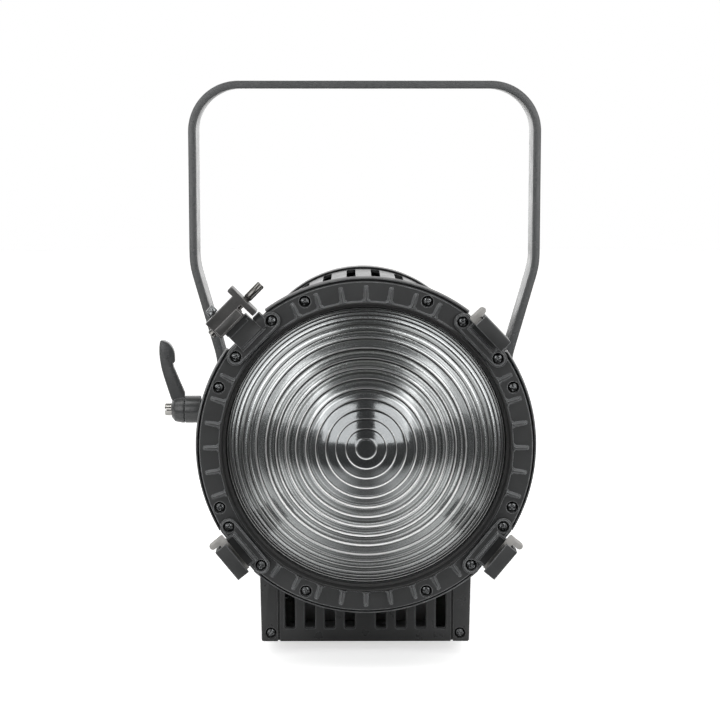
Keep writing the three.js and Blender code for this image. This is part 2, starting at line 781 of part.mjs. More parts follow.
/** The fixed pivot bolt on the right, with a hexagon head over a washer. */
function tiltBolt() {
  return join(
    crossRod(9.6, 117.4, 124, 6, 0, TILT_Z),
    crossRod(12, 115.8, 117.6, 20, 0, TILT_Z),
    crossRod(4.8, 90, 116.5, 12, 0, TILT_Z),
  );
}

/** The tilt lock's stud: a slotted head outside the lever and a shank into the left boss. */
function lockStud() {
  const body = turnedAcross(
    [
      [0, -158.8],
      [5, -158.8],
      [5, -153.6],
      [3.9, -153.6],
      [3.9, -90],
      [0, -90],
    ],
    12,
  );
  return body.subtract(block([-160, -6, TILT_Z - 0.6], [-157.2, 6, TILT_Z + 0.6]));
}

const lockSleeve = () =>
  turnedAcross(
    [
      [4.3, -142.5],
      [10.9, -142.5],
      [10.9, -130.2],
      [8.6, -130.2],
      [8.6, -115.9],
      [4.3, -115.9],
    ],
    16,
  );

/** The clamping lever: a hollow hub round the stud and an arm with a hooked thumb end. */
function lockLever() {
  const hub = turnedAcross(
    [
      [4.3, -142.9],
      [10.9, -142.9],
      [9.8, -150.6],
      [6.6, -153.2],
      [5.5, -153.2],
      [5.5, -148],
      [4.3, -148],
    ],
    20,
  );
  const arm = new THREE.Shape();
  arm.moveTo(-151.5, TILT_Z + 5);
  arm.lineTo(-153.8, 11.6);
  arm.lineTo(-158, 24.9);
  arm.quadraticCurveTo(-164.5, 45, -161.7, 57.5);
  arm.quadraticCurveTo(-149.5, 57, -150.6, 39.6);
  arm.lineTo(-152.4, 39.2);
  arm.lineTo(-151.8, 36.6);
  arm.lineTo(-142.9, 15);
  arm.lineTo(-142.9, TILT_Z + 5);
  const bore = crossRod(8, -156, -142, 16, 0, TILT_Z);
  return join(hub, plate(arm, -4.5, 4.5, 4).subtract(bore));
}

// ---------------------------------------------------------------- assembly

const group = (...parts) => new THREE.Group().add(...parts);

/** Bracket pieces, drawn at the top, turned about the lens axis to the bracket's place. */
function bracketGroup({ angle }, ...parts) {
  const turnedGroup = group(...parts);
  turnedGroup.rotation.y = rad(90 - angle);
  return turnedGroup;
}

const [upperRight, upperLeft, lowerLeft, lowerRight] = BRACKETS;
const bracketShape = accessoryBracket();
const fixedBrackets = [upperRight, lowerLeft, lowerRight].map((place) =>
  bracketGroup(
    place,
    piece(`accessory_bracket_${place.name}`, bracketShape, FINISH.satinBlack),
    piece(`leaf_spring_${place.name}`, leafSpring(place.leg), FINISH.steel),
  ),
);
const gate = bracketGroup(
  upperLeft,
  piece("gate_bracket", gateBracket(), FINISH.satinBlack),
  piece("gate_hinge_pin", gateHingePin(), FINISH.steel),
  piece("gate_spring", gateSpring(), FINISH.steel),
  piece("latch_gate", latchGate(), FINISH.satinBlack),
  piece("gate_plunger", gatePlunger(), FINISH.blackScrew),
);

const frontEnd = group(
  piece("front_casting", frontCasting(), FINISH.satinBlack),
  piece("lens_bezel", lensBezel(), FINISH.satinBlack),
  piece("fresnel_lens", fresnelLens(), FINISH.glass),
  piece("lens_gasket", lensGasket(), FINISH.rubber),
  ...bezelScrewPlaces.map(([x, z], i) => screw(`bezel_screw_${i + 1}`, x, BEZEL_SCREW_Y, z)),
  ...bracketScrewPlaces.map(([x, z], i) => screw(`bracket_screw_${i + 1}`, x, BRACKET_SCREW_Y, z)),
  ...fixedBrackets,
  gate,
);

const drum = group(
  piece("drum_housing", drumHousing(), FINISH.texturedBlack),
  piece("rear_cover", rearCover(), FINISH.texturedBlack),
  piece("fan_frame", fanFrame(), FINISH.plastic),
  piece("fan_rotor", fanRotor(), FINISH.plastic),
  piece("guide_rod_right", guideRod(RAIL_ANGLES[0]), FINISH.steel),
  piece("guide_rod_left", guideRod(RAIL_ANGLES[1]), FINISH.steel),
);

const lightEngine = group(
  piece("carriage_heatsink", carriageHeatsink(), FINISH.aluminium),
  piece("led_module", ledModule(), FINISH.phosphor),
  piece("reflector", reflector(), FINISH.aluminium),
  piece("focus_knob", focusKnob(), FINISH.plastic),
);

const base = group(
  piece("base_shell", baseShell(), FINISH.texturedBlack),
  piece("base_front_panel", baseFrontPanel(), FINISH.texturedBlack),
  screw("base_screw_left", -BASE_SCREW.x, BASE_SCREW.y, BASE_SCREW.z),
  screw("base_screw_right", BASE_SCREW.x, BASE_SCREW.y, BASE_SCREW.z),
  piece("power_supply", powerSupply(), FINISH.aluminium),
  piece("control_board", controlBoard(), FINISH.board),
  piece("control_panel", controlPanel(), FINISH.texturedBlack),
  piece("display_window", displayWindow(), FINISH.plastic),
  piece("power_inlet", connector(CONTROLS.power, 9.2), FINISH.plastic),
  piece("data_inlet", connector(CONTROLS.data, 8.4), FINISH.plastic),
  piece("dimmer_knob", dimmerKnob(), FINISH.plastic),
  piece("power_switch", powerSwitch(), FINISH.plastic),
);

const suspension = group(
  piece("yoke", yoke(), FINISH.greyPaint),
  piece("friction_disc_left", frictionDisc(-1), FINISH.fibre),
  piece("friction_disc_right", frictionDisc(1), FINISH.fibre),
  piece("tilt_bolt", tiltBolt(), FINISH.blackScrew),
  piece("lock_stud", lockStud(), FINISH.steel),
  piece("lock_sleeve", lockSleeve(), FINISH.satinBlack),
  piece("lock_lever", lockLever(), FINISH.satinBlack),
);

const spotlight = group(frontEnd, drum, lightEngine, base, suspension);
spotlight.position.z = -BASE_BOTTOM_Z;

export default spotlight;
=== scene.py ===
"""A stage fresnel spotlight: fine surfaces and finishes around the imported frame.

Shapes are drawn in millimetres about the lens axis, with the beam toward -Y, and lifted to the
axis height that the frame gives. A bracket's pieces are drawn as if it stood at the top: X is
tangential and Z points away from the axis.
"""
import json
import math
import random

import bmesh
import bpy
from mathutils import Matrix, Vector

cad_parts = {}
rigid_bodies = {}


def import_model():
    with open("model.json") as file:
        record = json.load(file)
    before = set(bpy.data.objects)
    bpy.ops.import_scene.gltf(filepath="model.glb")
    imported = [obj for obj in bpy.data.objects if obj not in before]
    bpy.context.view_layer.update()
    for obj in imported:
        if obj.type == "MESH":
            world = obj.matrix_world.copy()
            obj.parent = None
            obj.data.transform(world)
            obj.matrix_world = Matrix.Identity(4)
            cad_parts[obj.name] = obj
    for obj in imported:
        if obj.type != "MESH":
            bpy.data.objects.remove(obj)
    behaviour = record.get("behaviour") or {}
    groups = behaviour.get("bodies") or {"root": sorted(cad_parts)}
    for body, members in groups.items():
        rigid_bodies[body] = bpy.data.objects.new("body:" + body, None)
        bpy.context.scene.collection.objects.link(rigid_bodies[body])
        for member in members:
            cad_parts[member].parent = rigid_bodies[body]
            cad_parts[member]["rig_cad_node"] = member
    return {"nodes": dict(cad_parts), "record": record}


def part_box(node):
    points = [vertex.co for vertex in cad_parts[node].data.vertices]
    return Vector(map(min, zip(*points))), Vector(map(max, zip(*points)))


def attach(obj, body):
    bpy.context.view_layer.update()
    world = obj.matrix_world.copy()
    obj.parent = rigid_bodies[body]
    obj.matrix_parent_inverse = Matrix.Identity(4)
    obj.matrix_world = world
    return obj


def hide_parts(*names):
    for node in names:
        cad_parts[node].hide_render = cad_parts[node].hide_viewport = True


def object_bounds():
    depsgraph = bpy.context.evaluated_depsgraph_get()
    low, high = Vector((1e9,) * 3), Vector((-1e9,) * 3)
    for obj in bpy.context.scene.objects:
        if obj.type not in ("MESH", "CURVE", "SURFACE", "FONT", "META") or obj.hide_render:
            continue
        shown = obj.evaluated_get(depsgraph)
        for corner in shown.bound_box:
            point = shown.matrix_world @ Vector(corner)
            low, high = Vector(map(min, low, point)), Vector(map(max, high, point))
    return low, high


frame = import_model()
cad_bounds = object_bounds()
dice = random.Random(8)

# ---------------------------------------------------------------- measures from the frame

MM = 0.001


def box_mm(node):
    """Lowest and highest corner of a CAD node in millimetres."""
    low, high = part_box(node)
    return Vector(low) / MM, Vector(high) / MM


def middle(node):
    low, high = box_mm(node)
    return (low + high) / 2


AXIS_Z = middle("lens_bezel").z
LIFT = Matrix.Translation((0, 0, AXIS_Z))


def about_axis(node):
    """(low, high) of a CAD node, measured from the lens axis."""
    low, high = box_mm(node)
    down = Vector((0, 0, AXIS_Z))
    return low - down, high - down


BEZEL_LOW, BEZEL_HIGH = about_axis("lens_bezel")
BEZEL_R = BEZEL_HIGH.x - 0.6
SEAM_Y = BEZEL_HIGH.y
LIP_Y = BEZEL_LOW.y
FACE_Y = LIP_Y + 3
OPENING_R = 101
SCREW_HEAD_DEPTH = 1.8
DRUM_LOW, DRUM_HIGH = about_axis("drum_housing")
DRUM_R = DRUM_HIGH.z
TILT_Z = (middle("tilt_bolt") - Vector((0, 0, AXIS_Z))).z


def bracket_place(index):
    """Matrix that turns a bracket drawn at the top to its place, from its pair of screws."""
    pair = [middle(f"bracket_screw_{2 * index + k}") for k in (1, 2)]
    centre = (pair[0] + pair[1]) / 2
    turn = math.pi / 2 - math.atan2(centre.z - AXIS_Z, centre.x)
    return LIFT @ Matrix.Rotation(turn, 4, "Y")


BRACKET_NAMES = ["upper_right", "upper_left", "lower_left", "lower_right"]
PLACES = {name: bracket_place(i) for i, name in enumerate(BRACKET_NAMES)}
BRACKET_ANGLES = [math.degrees(math.atan2(m.col[2].z, m.col[2].x)) for m in PLACES.values()]

# ---------------------------------------------------------------- outlines


def rounded(points, radius, steps=3, closed=True):
    """The same outline with each corner turned into a small curve."""
    points = [Vector(p) for p in points]
    count = len(points)
    out = []
    for i, corner in enumerate(points):
        if not closed and i in (0, count - 1):
            out.append(tuple(corner))
            continue
        before, after = points[i - 1] - corner, points[(i + 1) % count] - corner
        reach = min(radius, 0.45 * before.length, 0.45 * after.length)
        start, end = corner + before.normalized() * reach, corner + after.normalized() * reach
        for k in range(steps + 1):
            t = k / steps
            bend = start * (1 - t) ** 2 + corner * 2 * t * (1 - t) + end * t**2
            out.append(tuple(bend))
    return out


def arc(x, z, radius, start, end, steps):
    """Points along an arc, angles in degrees."""
    turns = [math.radians(start + (end - start) * i / steps) for i in range(steps + 1)]
    return [(x + radius * math.cos(a), z + radius * math.sin(a)) for a in turns]


def stadium(a, b, radius, steps=12):
    """A slot outline with round ends centred on a and b."""
    along = math.degrees(math.atan2(b[1] - a[1], b[0] - a[0]))
    first = arc(*b, radius, along - 90, along + 90, steps)
    return first + arc(*a, radius, along + 90, along + 270, steps)


# ---------------------------------------------------------------- solids


def welded(bm):
    """Merges doubled points, drops faces without area and turns the rest outward."""
    bmesh.ops.remove_doubles(bm, verts=bm.verts, dist=1e-4)
    bmesh.ops.dissolve_degenerate(bm, edges=bm.edges, dist=1e-4)
    bmesh.ops.recalc_face_normals(bm, faces=bm.faces)
    return bm


def lathe(profile, segments=96, closed=True, shape=None, angles=None):
    """A body of revolution about Y through [radius, y] points. shape may move a point."""
    bm = bmesh.new()
    turns = angles or [2 * math.pi * i / segments for i in range(segments)]
    columns = []
    for turn in turns:
        column = []
        for radius, y in profile:
            if shape:
                radius, y = shape(radius, y, turn)
            place = (radius * math.cos(turn), y, radius * math.sin(turn))
            column.append(bm.verts.new(place))
        columns.append(column)
    rows = len(profile)
    for i, column in enumerate(columns):
        other = columns[(i + 1) % len(columns)]
        for j in range(rows if closed else rows - 1):
            k = (j + 1) % rows
            bm.faces.new((column[j], column[k], other[k], other[j]))
    return welded(bm)


def prism(outline, y0, y1):
    """An outline in X and Z, extruded between two Y planes."""
    bm = bmesh.new()
    front = [bm.verts.new((x, y0, z)) for x, z in outline]
    back = [bm.verts.new((x, y1, z)) for x, z in outline]
    bm.faces.new(front)
    bm.faces.new(back[::-1])
    for i in range(len(outline)):
        j = (i + 1) % len(outline)
        bm.faces.new((front[i], back[i], back[j], front[j]))
    return welded(bm)


def lofted(bm, rings):
    """Joins a row of rings of vertices, and closes both ends."""
    for first, second in zip(rings, rings[1:]):
        count = len(first)
        for k in range(count):
            bm.faces.new((first[k], first[(k + 1) % count], second[(k + 1) % count], second[k]))
    bm.faces.new(rings[0])
    bm.faces.new(rings[-1][::-1])
    return welded(bm)


def block(low, high):
    """A box between two corners."""
    (x0, y0, z0), (x1, y1, z1) = low, high
    return prism([(x0, z0), (x1, z0), (x1, z1), (x0, z1)], y0, y1)


def rod(radius, y0, y1, x=0, z=0, segments=32):
    return prism(arc(x, z, radius, 0, 360 - 360 / segments, segments - 1), y0, y1)


def moved(bm, matrix):
    bmesh.ops.transform(bm, matrix=matrix, verts=bm.verts)
    return bm


ALONG_X = Matrix.Rotation(math.radians(-90), 4, "Z")  # takes +Y to +X
ALONG_Z = Matrix.Rotation(math.radians(90), 4, "X")  # takes +Y to +Z


def across(bm, y=0, z=0):
    """A solid drawn along Y, laid along X through the given y and z."""
    return moved(bm, Matrix.Translation((0, y, z)) @ ALONG_X)


def channel(outline, x0, x1):
    """An outline of (y, z) points, extruded along X."""
    swap = Matrix(((0, 1, 0, 0), (1, 0, 0, 0), (0, 0, 1, 0), (0, 0, 0, 1)))
    return welded(moved(prism(outline, x0, x1), swap))


def spun(bm, degrees):
    """Turned about the lens axis, so that its top goes to an angle seen from the front."""
    return moved(bm, Matrix.Rotation(math.radians(90 - degrees), 4, "Y"))


def as_object(bm, name="scratch"):
    mesh = bpy.data.meshes.new(name)
    bm.to_mesh(mesh)
    bm.free()
    obj = bpy.data.objects.new(name, mesh)
    bpy.context.scene.collection.objects.link(obj)
    return obj


def combine(first, operation, others):
    """Joins, cuts or intersects closed solids, one after another."""
    body = as_object(first)
    helpers = [as_object(one) for one in others]
    for helper in helpers:
        step = body.modifiers.new("step", "BOOLEAN")
        step.operation = operation
        step.solver = "MANIFOLD"
        step.object = helper
    bpy.context.view_layer.update()
    result = bmesh.new()
    result.from_object(body, bpy.context.evaluated_depsgraph_get())
    for obj in [body, *helpers]:
        mesh = obj.data
        bpy.data.objects.remove(obj)
        bpy.data.meshes.remove(mesh)
    return welded(result)


def join(first, *others):
    return combine(first, "UNION", others)


def cut(first, *others):
    return combine(first, "DIFFERENCE", others)


def overlap(first, *others):
    return combine(first, "INTERSECT", others)


def merged(*parts):
    """Solids that don't touch, held in one mesh."""
    bm = bmesh.new()
    for part in parts:
        mesh = bpy.data.meshes.new("scratch")
        part.to_mesh(mesh)
        part.free()
        bm.from_mesh(mesh)
        bpy.data.meshes.remove(mesh)
    return bm


def bevelled(bm, width, segments=2, angle=32):
    """Rounds every edge sharper than an angle."""
    limit = math.radians(angle)
    edges = [e for e in bm.edges if len(e.link_faces) == 2 and e.calc_face_angle(0) > limit]
    bmesh.ops.bevel(
        bm, geom=edges, offset=width, segments=segments, profile=0.5, affect="EDGES", clamp_overlap=True
    )
    return bm


# ---------------------------------------------------------------- finishes


def tree_of(name):
    material = bpy.data.materials.new(name)
    material.use_nodes = True
    tree = material.node_tree
    tree.nodes.clear()
    return material, tree


def node(tree, kind, inputs=None, **settings):
    """A shader node with its settings, and inputs that are plain values or links."""
    made = tree.nodes.new("ShaderNode" + kind)
    for key, value in settings.items():
        setattr(made, key, value)
    for key, value in (inputs or {}).items():
        if isinstance(value, bpy.types.NodeSocket):
            tree.links.new(value, made.inputs[key])
        else:
            made.inputs[key].default_value = value
    return made


def noise(tree, scale, detail=4, stretch=(1, 1, 1)):
    """Noise in object space, with features of about 1/scale metres."""
    where = node(tree, "TexCoord").outputs["Object"]
    mapped = node(tree, "Mapping", {"Vector": where, "Scale": stretch}).outputs[0]
    values = {"Vector": mapped, "Scale": scale, "Detail": detail, "Roughness": 0.55}
    return node(tree, "TexNoise", values).outputs["Fac"]


def ranged(tree, value, low, high, start=0.3, end=0.7):
    values = {"Value": value, "From Min": start, "From Max": end, "To Min": low, "To Max": high}
    return node(tree, "MapRange", values).outputs["Result"]


def blended(tree, share, first, second):
    """A colour between two, each of them a plain value or a link."""
    mixer = node(tree, "Mix", data_type="RGBA")
    for socket, value in zip((mixer.inputs[0], mixer.inputs[6], mixer.inputs[7]), (share, first, second)):
        if isinstance(value, bpy.types.NodeSocket):
            tree.links.new(value, socket)
        else:
            socket.default_value = value
    return mixer.outputs[2]


def edges_mask(tree, radius):
    """1 on convex and concave edges within a radius in metres, 0 on flat surfaces."""
    soft = node(tree, "Bevel", {"Radius": radius}, samples=4).outputs["Normal"]
    true = node(tree, "NewGeometry").outputs["Normal"]
    dot = node(tree, "VectorMath", {0: soft, 1: true}, operation="DOT_PRODUCT").outputs["Value"]
    return ranged(tree, dot, 1.0, 0.0, 0.9, 0.998)


def times(tree, first, second):
    return node(tree, "Math", {0: first, 1: second}, operation="MULTIPLY").outputs[0]


def grey(value, tint=(1, 1, 1)):
    return (value * tint[0], value * tint[1], value * tint[2], 1)


def finish_of(tree, material, values):
    surface = node(tree, "BsdfPrincipled", values)
    output = node(tree, "OutputMaterial", {"Surface": surface.outputs[0]})
    output.is_active_output = True
    return material


COOL = (0.97, 1.0, 1.02)
EDGE_GAIN = 13  # how much paler an edge is than the coat: rubbed wear, and painted highlight


def coated(name, tone, roughness, grain, depth, edge_wear_and_highlight=0.5, tint=COOL, mottle=40, metallic=0.0, swing=0.18):
    """Powder coat or paint: cloudy tone, fine grain, and paler edges, partly rubbed wear and partly painted
    highlight.
    """
    material, tree = tree_of(name)
    clouds = ranged(tree, noise(tree, mottle, 5), 0, 1)
    base = blended(tree, clouds, grey(tone * (1 - swing), tint), grey(tone * (1 + swing), tint))
    speck = ranged(tree, noise(tree, grain * 1.7, 2), 0, 1, 0.55, 0.75)
    base = blended(tree, speck, base, grey(tone * 1.5, tint))
    scuffs = ranged(tree, noise(tree, 260, 3), 0.45, 1)
    # Paler edges: rubbed wear, and a painted highlight where light would catch them.
    wear_and_painted_highlight = times(tree, times(tree, edges_mask(tree, 0.0008), scuffs), edge_wear_and_highlight)
    # Faces marked in the mesh are made paler as well: a painted highlight.
    marked = node(tree, "Attribute", attribute_name="wear_and_painted_highlight").outputs["Fac"]
    wear_and_painted_highlight = node(tree, "Math", {0: wear_and_painted_highlight, 1: marked}, operation="MAXIMUM").outputs[0]
    base = blended(tree, wear_and_painted_highlight, base, grey(min(tone * EDGE_GAIN, 0.5), tint))
    rough = ranged(tree, noise(tree, 90, 4), roughness - 0.05, roughness + 0.07)
    bump = node(tree, "Bump", {"Height": noise(tree, grain, 3), "Strength": 0.5, "Distance": depth})
    values = {"Base Color": base, "Roughness": rough, "Normal": bump.outputs[0], "Metallic": metallic}
    return finish_of(tree, material, values)


def metal(name, colour, roughness, stretch, scratch=700, depth=0.00002):
    """Bare or plated metal with fine drawn lines and slight tarnish."""
    material, tree = tree_of(name)
    lines = noise(tree, scratch, 3, stretch)
    tarnish = ranged(tree, noise(tree, 60, 5), 0, 1)
    darker = tuple(c * 0.7 for c in colour[:3]) + (1,)
    base = blended(tree, tarnish, colour, darker)
    paler = tuple(min(c * 1.25, 1) for c in colour[:3]) + (1,)
    base = blended(tree, edges_mask(tree, 0.0006), base, paler)
    rough = ranged(tree, lines, roughness * 0.75, roughness * 1.35)
    bump = node(tree, "Bump", {"Height": lines, "Strength": 0.4, "Distance": depth})
    values = {"Base Color": base, "Roughness": rough, "Normal": bump.outputs[0], "Metallic": 1.0}
    return finish_of(tree, material, values)


def moulded(name, colour, roughness, grain=1500, depth=0.00002, **more):
    """Plastic, rubber, board and other uncoated materials, with a slight texture."""
    material, tree = tree_of(name)
    clouds = ranged(tree, noise(tree, 70, 4), 0, 1)
    darker = tuple(c * 0.78 for c in colour[:3]) + (1,)
    base = blended(tree, clouds, colour, darker)
    pale = blended(tree, 0.3, colour, (0.6, 0.6, 0.6, 1))
    base = blended(tree, times(tree, edges_mask(tree, 0.0004), 0.35), base, pale)
    rough = ranged(tree, noise(tree, 150, 3), roughness - 0.05, roughness + 0.06)
    bump = node(tree, "Bump", {"Height": noise(tree, grain, 2), "Strength": 0.4, "Distance": depth})
    values = {"Base Color": base, "Roughness": rough, "Normal": bump.outputs[0], **more}
    return finish_of(tree, material, values)


def lens_finish():
    """Pressed glass: speckled dark facets with fine turned lines, crests painted pale and risers painted
    dark.

    The faces carry two marks, crest and riser: a crest gets a painted highlight, brightest toward the top and
    bottom, and a riser gets painted shade.
    """
    material, tree = tree_of("pressed_glass")
    where = node(tree, "TexCoord").outputs["Object"]
    centred = node(tree, "VectorMath", {0: where, 1: (0, 0, -AXIS_Z * MM)}, operation="ADD").outputs[0]
    flat = node(tree, "VectorMath", {0: centred, 1: (1, 0, 1)}, operation="MULTIPLY").outputs[0]
    radius = node(tree, "VectorMath", {0: flat}, operation="LENGTH").outputs["Value"]
    crest = node(tree, "Attribute", attribute_name="crest").outputs["Fac"]
    # Risers get painted shade; crests get a painted highlight below.
    shade = times(tree, node(tree, "Attribute", attribute_name="riser").outputs["Fac"], 0.8)
    height = node(tree, "SeparateXYZ", {"Vector": centred}).outputs["Z"]
    rise = node(tree, "Math", {0: height, 1: radius}, operation="DIVIDE").outputs[0]
    level = node(tree, "Math", {0: rise}, operation="ABSOLUTE").outputs[0]
    # The crests' painted highlight: paler toward the bottom and top, dimmer at the very top and at the rim.
    lit = ranged(tree, level, 0.3, 0.95, 0.08, 0.42)
    lit = times(tree, lit, ranged(tree, rise, 1, 0.25, 0.55, 0.92))
    lit = times(tree, lit, ranged(tree, radius, 1, 0.45, 0.075, 0.081))

    outer = ranged(tree, radius, 0, 1, 0.03, 0.05)
    clouds = ranged(tree, noise(tree, 18, 3), 0, 1)
    base = blended(tree, clouds, (0.3, 0.315, 0.32, 1), (0.38, 0.395, 0.395, 1))
    base = blended(tree, outer, (0.19, 0.2, 0.205, 1), base)
    along = {"W": radius, "Scale": 620, "Detail": 2}
    turned = node(tree, "TexNoise", along, noise_dimensions="1D").outputs["Fac"]
    dark_turn = times(tree, ranged(tree, turned, 0.75, 0, 0.4, 0.55), outer)
    base = blended(tree, dark_turn, base, (0.06, 0.065, 0.06, 1))
    pale_turn = times(tree, ranged(tree, turned, 0, 0.8, 0.56, 0.66), outer)
    base = blended(tree, pale_turn, base, (0.75, 0.77, 0.77, 1))
    speckle = ranged(tree, noise(tree, 1700, 2), 0, 0.5, 0.42, 0.62)
    base = blended(tree, speckle, base, (0.1, 0.105, 0.105, 1))
    base = blended(tree, shade, base, (0.03, 0.032, 0.032, 1))
    base = blended(tree, crest, base, lit)

    ripple = node(tree, "Bump", {"Height": turned, "Strength": 0.3, "Distance": 0.0001})
    pebbles = node(tree, "TexVoronoi", {"Vector": where, "Scale": 1500}, feature="SMOOTH_F1").outputs[0]
    relief = {"Height": pebbles, "Strength": 0.12, "Distance": 0.0001, "Normal": ripple.outputs[0]}
    bump = node(tree, "Bump", relief)
    smooth_rough = ranged(tree, radius, 0.1, 0.2, 0.02, 0.055)
    rough = blended(tree, crest, smooth_rough, (0.6, 0.6, 0.6, 1))
    values = {
        "Base Color": base,
        "Metallic": ranged(tree, crest, 0.86, 0.0, 0, 1),
        "Roughness": rough,
        "Normal": bump.outputs[0],
        "Coat Weight": 1.0,
        "Coat Roughness": 0.03,
        "Coat IOR": 1.5,
    }
    return finish_of(tree, material, values)


CAST = coated("cast_black", 0.025, 0.4, 1500, 0.00005, edge_wear_and_highlight=1.0)
SHEET = coated("sheet_black", 0.02, 0.3, 1300, 0.00003, edge_wear_and_highlight=0.4)
YOKE_PAINT = coated("yoke_grey", 0.082, 0.26, 1300, 0.00002, edge_wear_and_highlight=0.4, swing=0.08)
# A smoother copy of the cast black for the lever and sleeve, made lighter: the lighter tone is painted
# highlight.
LEVER_PAINTED_HIGHLIGHT = coated("cast_black_smooth_painted_highlight", 0.056, 0.22, 1500, 0.00002, edge_wear_and_highlight=0.6)
SCREW_BLACK = coated("screw_black", 0.05, 0.24, 2500, 0.00003, edge_wear_and_highlight=0.9, metallic=1.0)
WORN = {"edge_wear_and_highlight": 0.9, "tint": (1.03, 1.0, 0.98), "mottle": 110}
WORN_CAST = coated("cast_black_worn", 0.038, 0.33, 1200, 0.00008, **WORN)
STEEL = metal("bright_steel", (0.5, 0.49, 0.47, 1), 0.16, (1, 14, 1), 300, 0.000004)
PIN_STEEL = metal("pin_steel", (0.2, 0.195, 0.185, 1), 0.2, (1, 14, 1), 300, 0.000004)
SPRING = metal("spring_steel", (0.27, 0.265, 0.255, 1), 0.34, (6, 1, 6))
ALUMINIUM = metal("mill_aluminium", (0.6, 0.61, 0.62, 1), 0.38, (1, 0.1, 1))
GLASS = lens_finish()
RUBBER = moulded("rubber_black", (0.02, 0.02, 0.02, 1), 0.75)
PLASTIC = moulded("plastic_black", (0.028, 0.028, 0.03, 1), 0.42, 1800)
WINDOW = moulded("display_glass", (0.012, 0.014, 0.018, 1), 0.12, 60, 0.00001, **{"Coat Weight": 1.0})
# Near-black for the throat liner: painted shade inside the bezel's throat.
THROAT_SHADE = moulded("throat_painted_shade", (0.006, 0.006, 0.006, 1), 0.55)
PRINT = moulded("printed_white", (0.72, 0.72, 0.7, 1), 0.5)
BOARD = moulded("board_green", (0.02, 0.12, 0.05, 1), 0.45, 1200, 0.00004)
PHOSPHOR = moulded("phosphor", (0.85, 0.62, 0.12, 1), 0.6, 2500, 0.00004)
FIBRE = moulded("friction_fibre", (0.17, 0.13, 0.09, 1), 0.85, 1600, 0.0001)

SLOT_OF = {
    "cast_black": CAST,
    "sheet_black": SHEET,
    "yoke_grey": YOKE_PAINT,
    "screw_black": SCREW_BLACK,
    "bright_steel": STEEL,
    "spring_steel": SPRING,
    "aluminium": ALUMINIUM,
    "lens_glass": GLASS,
    "rubber_black": RUBBER,
    "plastic_black": PLASTIC,
    "display_glass": WINDOW,
    "board_green": BOARD,
    "phosphor": PHOSPHOR,
    "friction_fibre": FIBRE,
}
NODE_SLOT = {s["node"]: s["material_slot"] for s in frame["record"]["subparts"]}
NODE_BODY = {n: body for body, members in frame["record"]["behaviour"]["bodies"].items() for n in members}

# ---------------------------------------------------------------- pieces


def smooth(mesh, angle):
    for polygon in mesh.polygons:
        polygon.use_smooth = True
    mesh.set_sharp_from_angle(angle=math.radians(angle))


def show(name, bm, place=LIFT, slot=None, body="head", stands_for=(), angle=35):
    """Makes a piece from a solid in millimetres, on a body, with the finish of a slot."""
    moved(bm, Matrix.Diagonal((MM, MM, MM, 1)) @ place)
    obj = as_object(bm, name)
    smooth(obj.data, angle)
    obj.data.materials.append(SLOT_OF[slot])
    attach(obj, body)
    if stands_for:
        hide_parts(*stands_for)
    return obj


def stand_in(node_name, bm, place=LIFT, angle=35):
    """A finer piece that takes a CAD node's place, body and finish."""
    slot, body = NODE_SLOT[node_name], NODE_BODY[node_name]
    return show("fine_" + node_name, bm, place, slot, body, (node_name,), angle)


def carry(node_name, bevel):
    """Keeps a CAD node, with its edges rounded and its own finish."""
    obj = frame["nodes"][node_name]
    weld = obj.modifiers.new("weld", "WELD")
    weld.merge_threshold = 1e-6
    edge = obj.modifiers.new("bevel", "BEVEL")
    edge.width = bevel * MM
    edge.segments = 2
    edge.limit_method = "ANGLE"
    edge.angle_limit = math.radians(30)
    obj.data.materials.clear()
    obj.data.materials.append(SLOT_OF[NODE_SLOT[node_name]])
    smooth(obj.data, 35)


# ---------------------------------------------------------------- screws

HEAD_R, SHANK_R = 3.8, 2


def screw_head():
    """A pan head with a cross recess. It rests on y = 0 and faces -Y."""
    top = -SCREW_HEAD_DEPTH
    dome = [(0, top - 0.35), (1.6, top - 0.25), (2.8, top + 0.1), (3.6, top + 0.75)]
    dome += [(HEAD_R, top + 1.3), (HEAD_R, 0)]
    shank = [(SHANK_R, 0), (SHANK_R, 10.4), (SHANK_R - 0.6, 11), (0, 11)]
    body = lathe(rounded(dome, 0.4, 3, False) + shank, 40, closed=False)
    long, thin = 2.3, 0.42
    arms = [block((-x, top - 1, -z), (x, top + 1.1, z)) for x, z in ((long, thin), (thin, long))]
    pit = lathe([(0, top - 1), (1.1, top - 1), (0.7, top + 1.2), (0, top + 1.5)], 16, closed=False)
    return cut(body, *arms, pit)


def screw_hole(x, z, seat, above=1, below=12):
    """A cutter for a screw's shank, from above to below its seat."""
    return rod(SHANK_R + 0.3, seat - above, seat + below, x, z, 20)


def head_recess(x, z, seat, radius=HEAD_R + 0.5, above=9, sides=40):
    """A cutter that lets a screw's head down to its seat."""
    return rod(radius, seat - above, seat + 0.05, x, z, sides)


def place_screws():
    names = [n for n in frame["nodes"] if n.startswith(("bezel_screw", "bracket_screw", "base_screw"))]
    for name in sorted(names):
        low, high = box_mm(name)
        centre = (low + high) / 2
        seat = low.y + SCREW_HEAD_DEPTH
        turn = Matrix.Rotation(dice.uniform(0, math.pi / 2), 4, "Y")
        stand_in(name, screw_head(), Matrix.Translation((centre.x, seat, centre.z)) @ turn)


def screw_places(prefix, count):
    """(x, z about the axis, seat plane) of a family of screws."""
    out = []
    for i in range(1, count + 1):
        low, high = about_axis(f"{prefix}_{i}")
        centre = (low + high) / 2
        out.append((centre.x, centre.z, low.y + SCREW_HEAD_DEPTH))
    return out


# ---------------------------------------------------------------- lens, bezel and casting

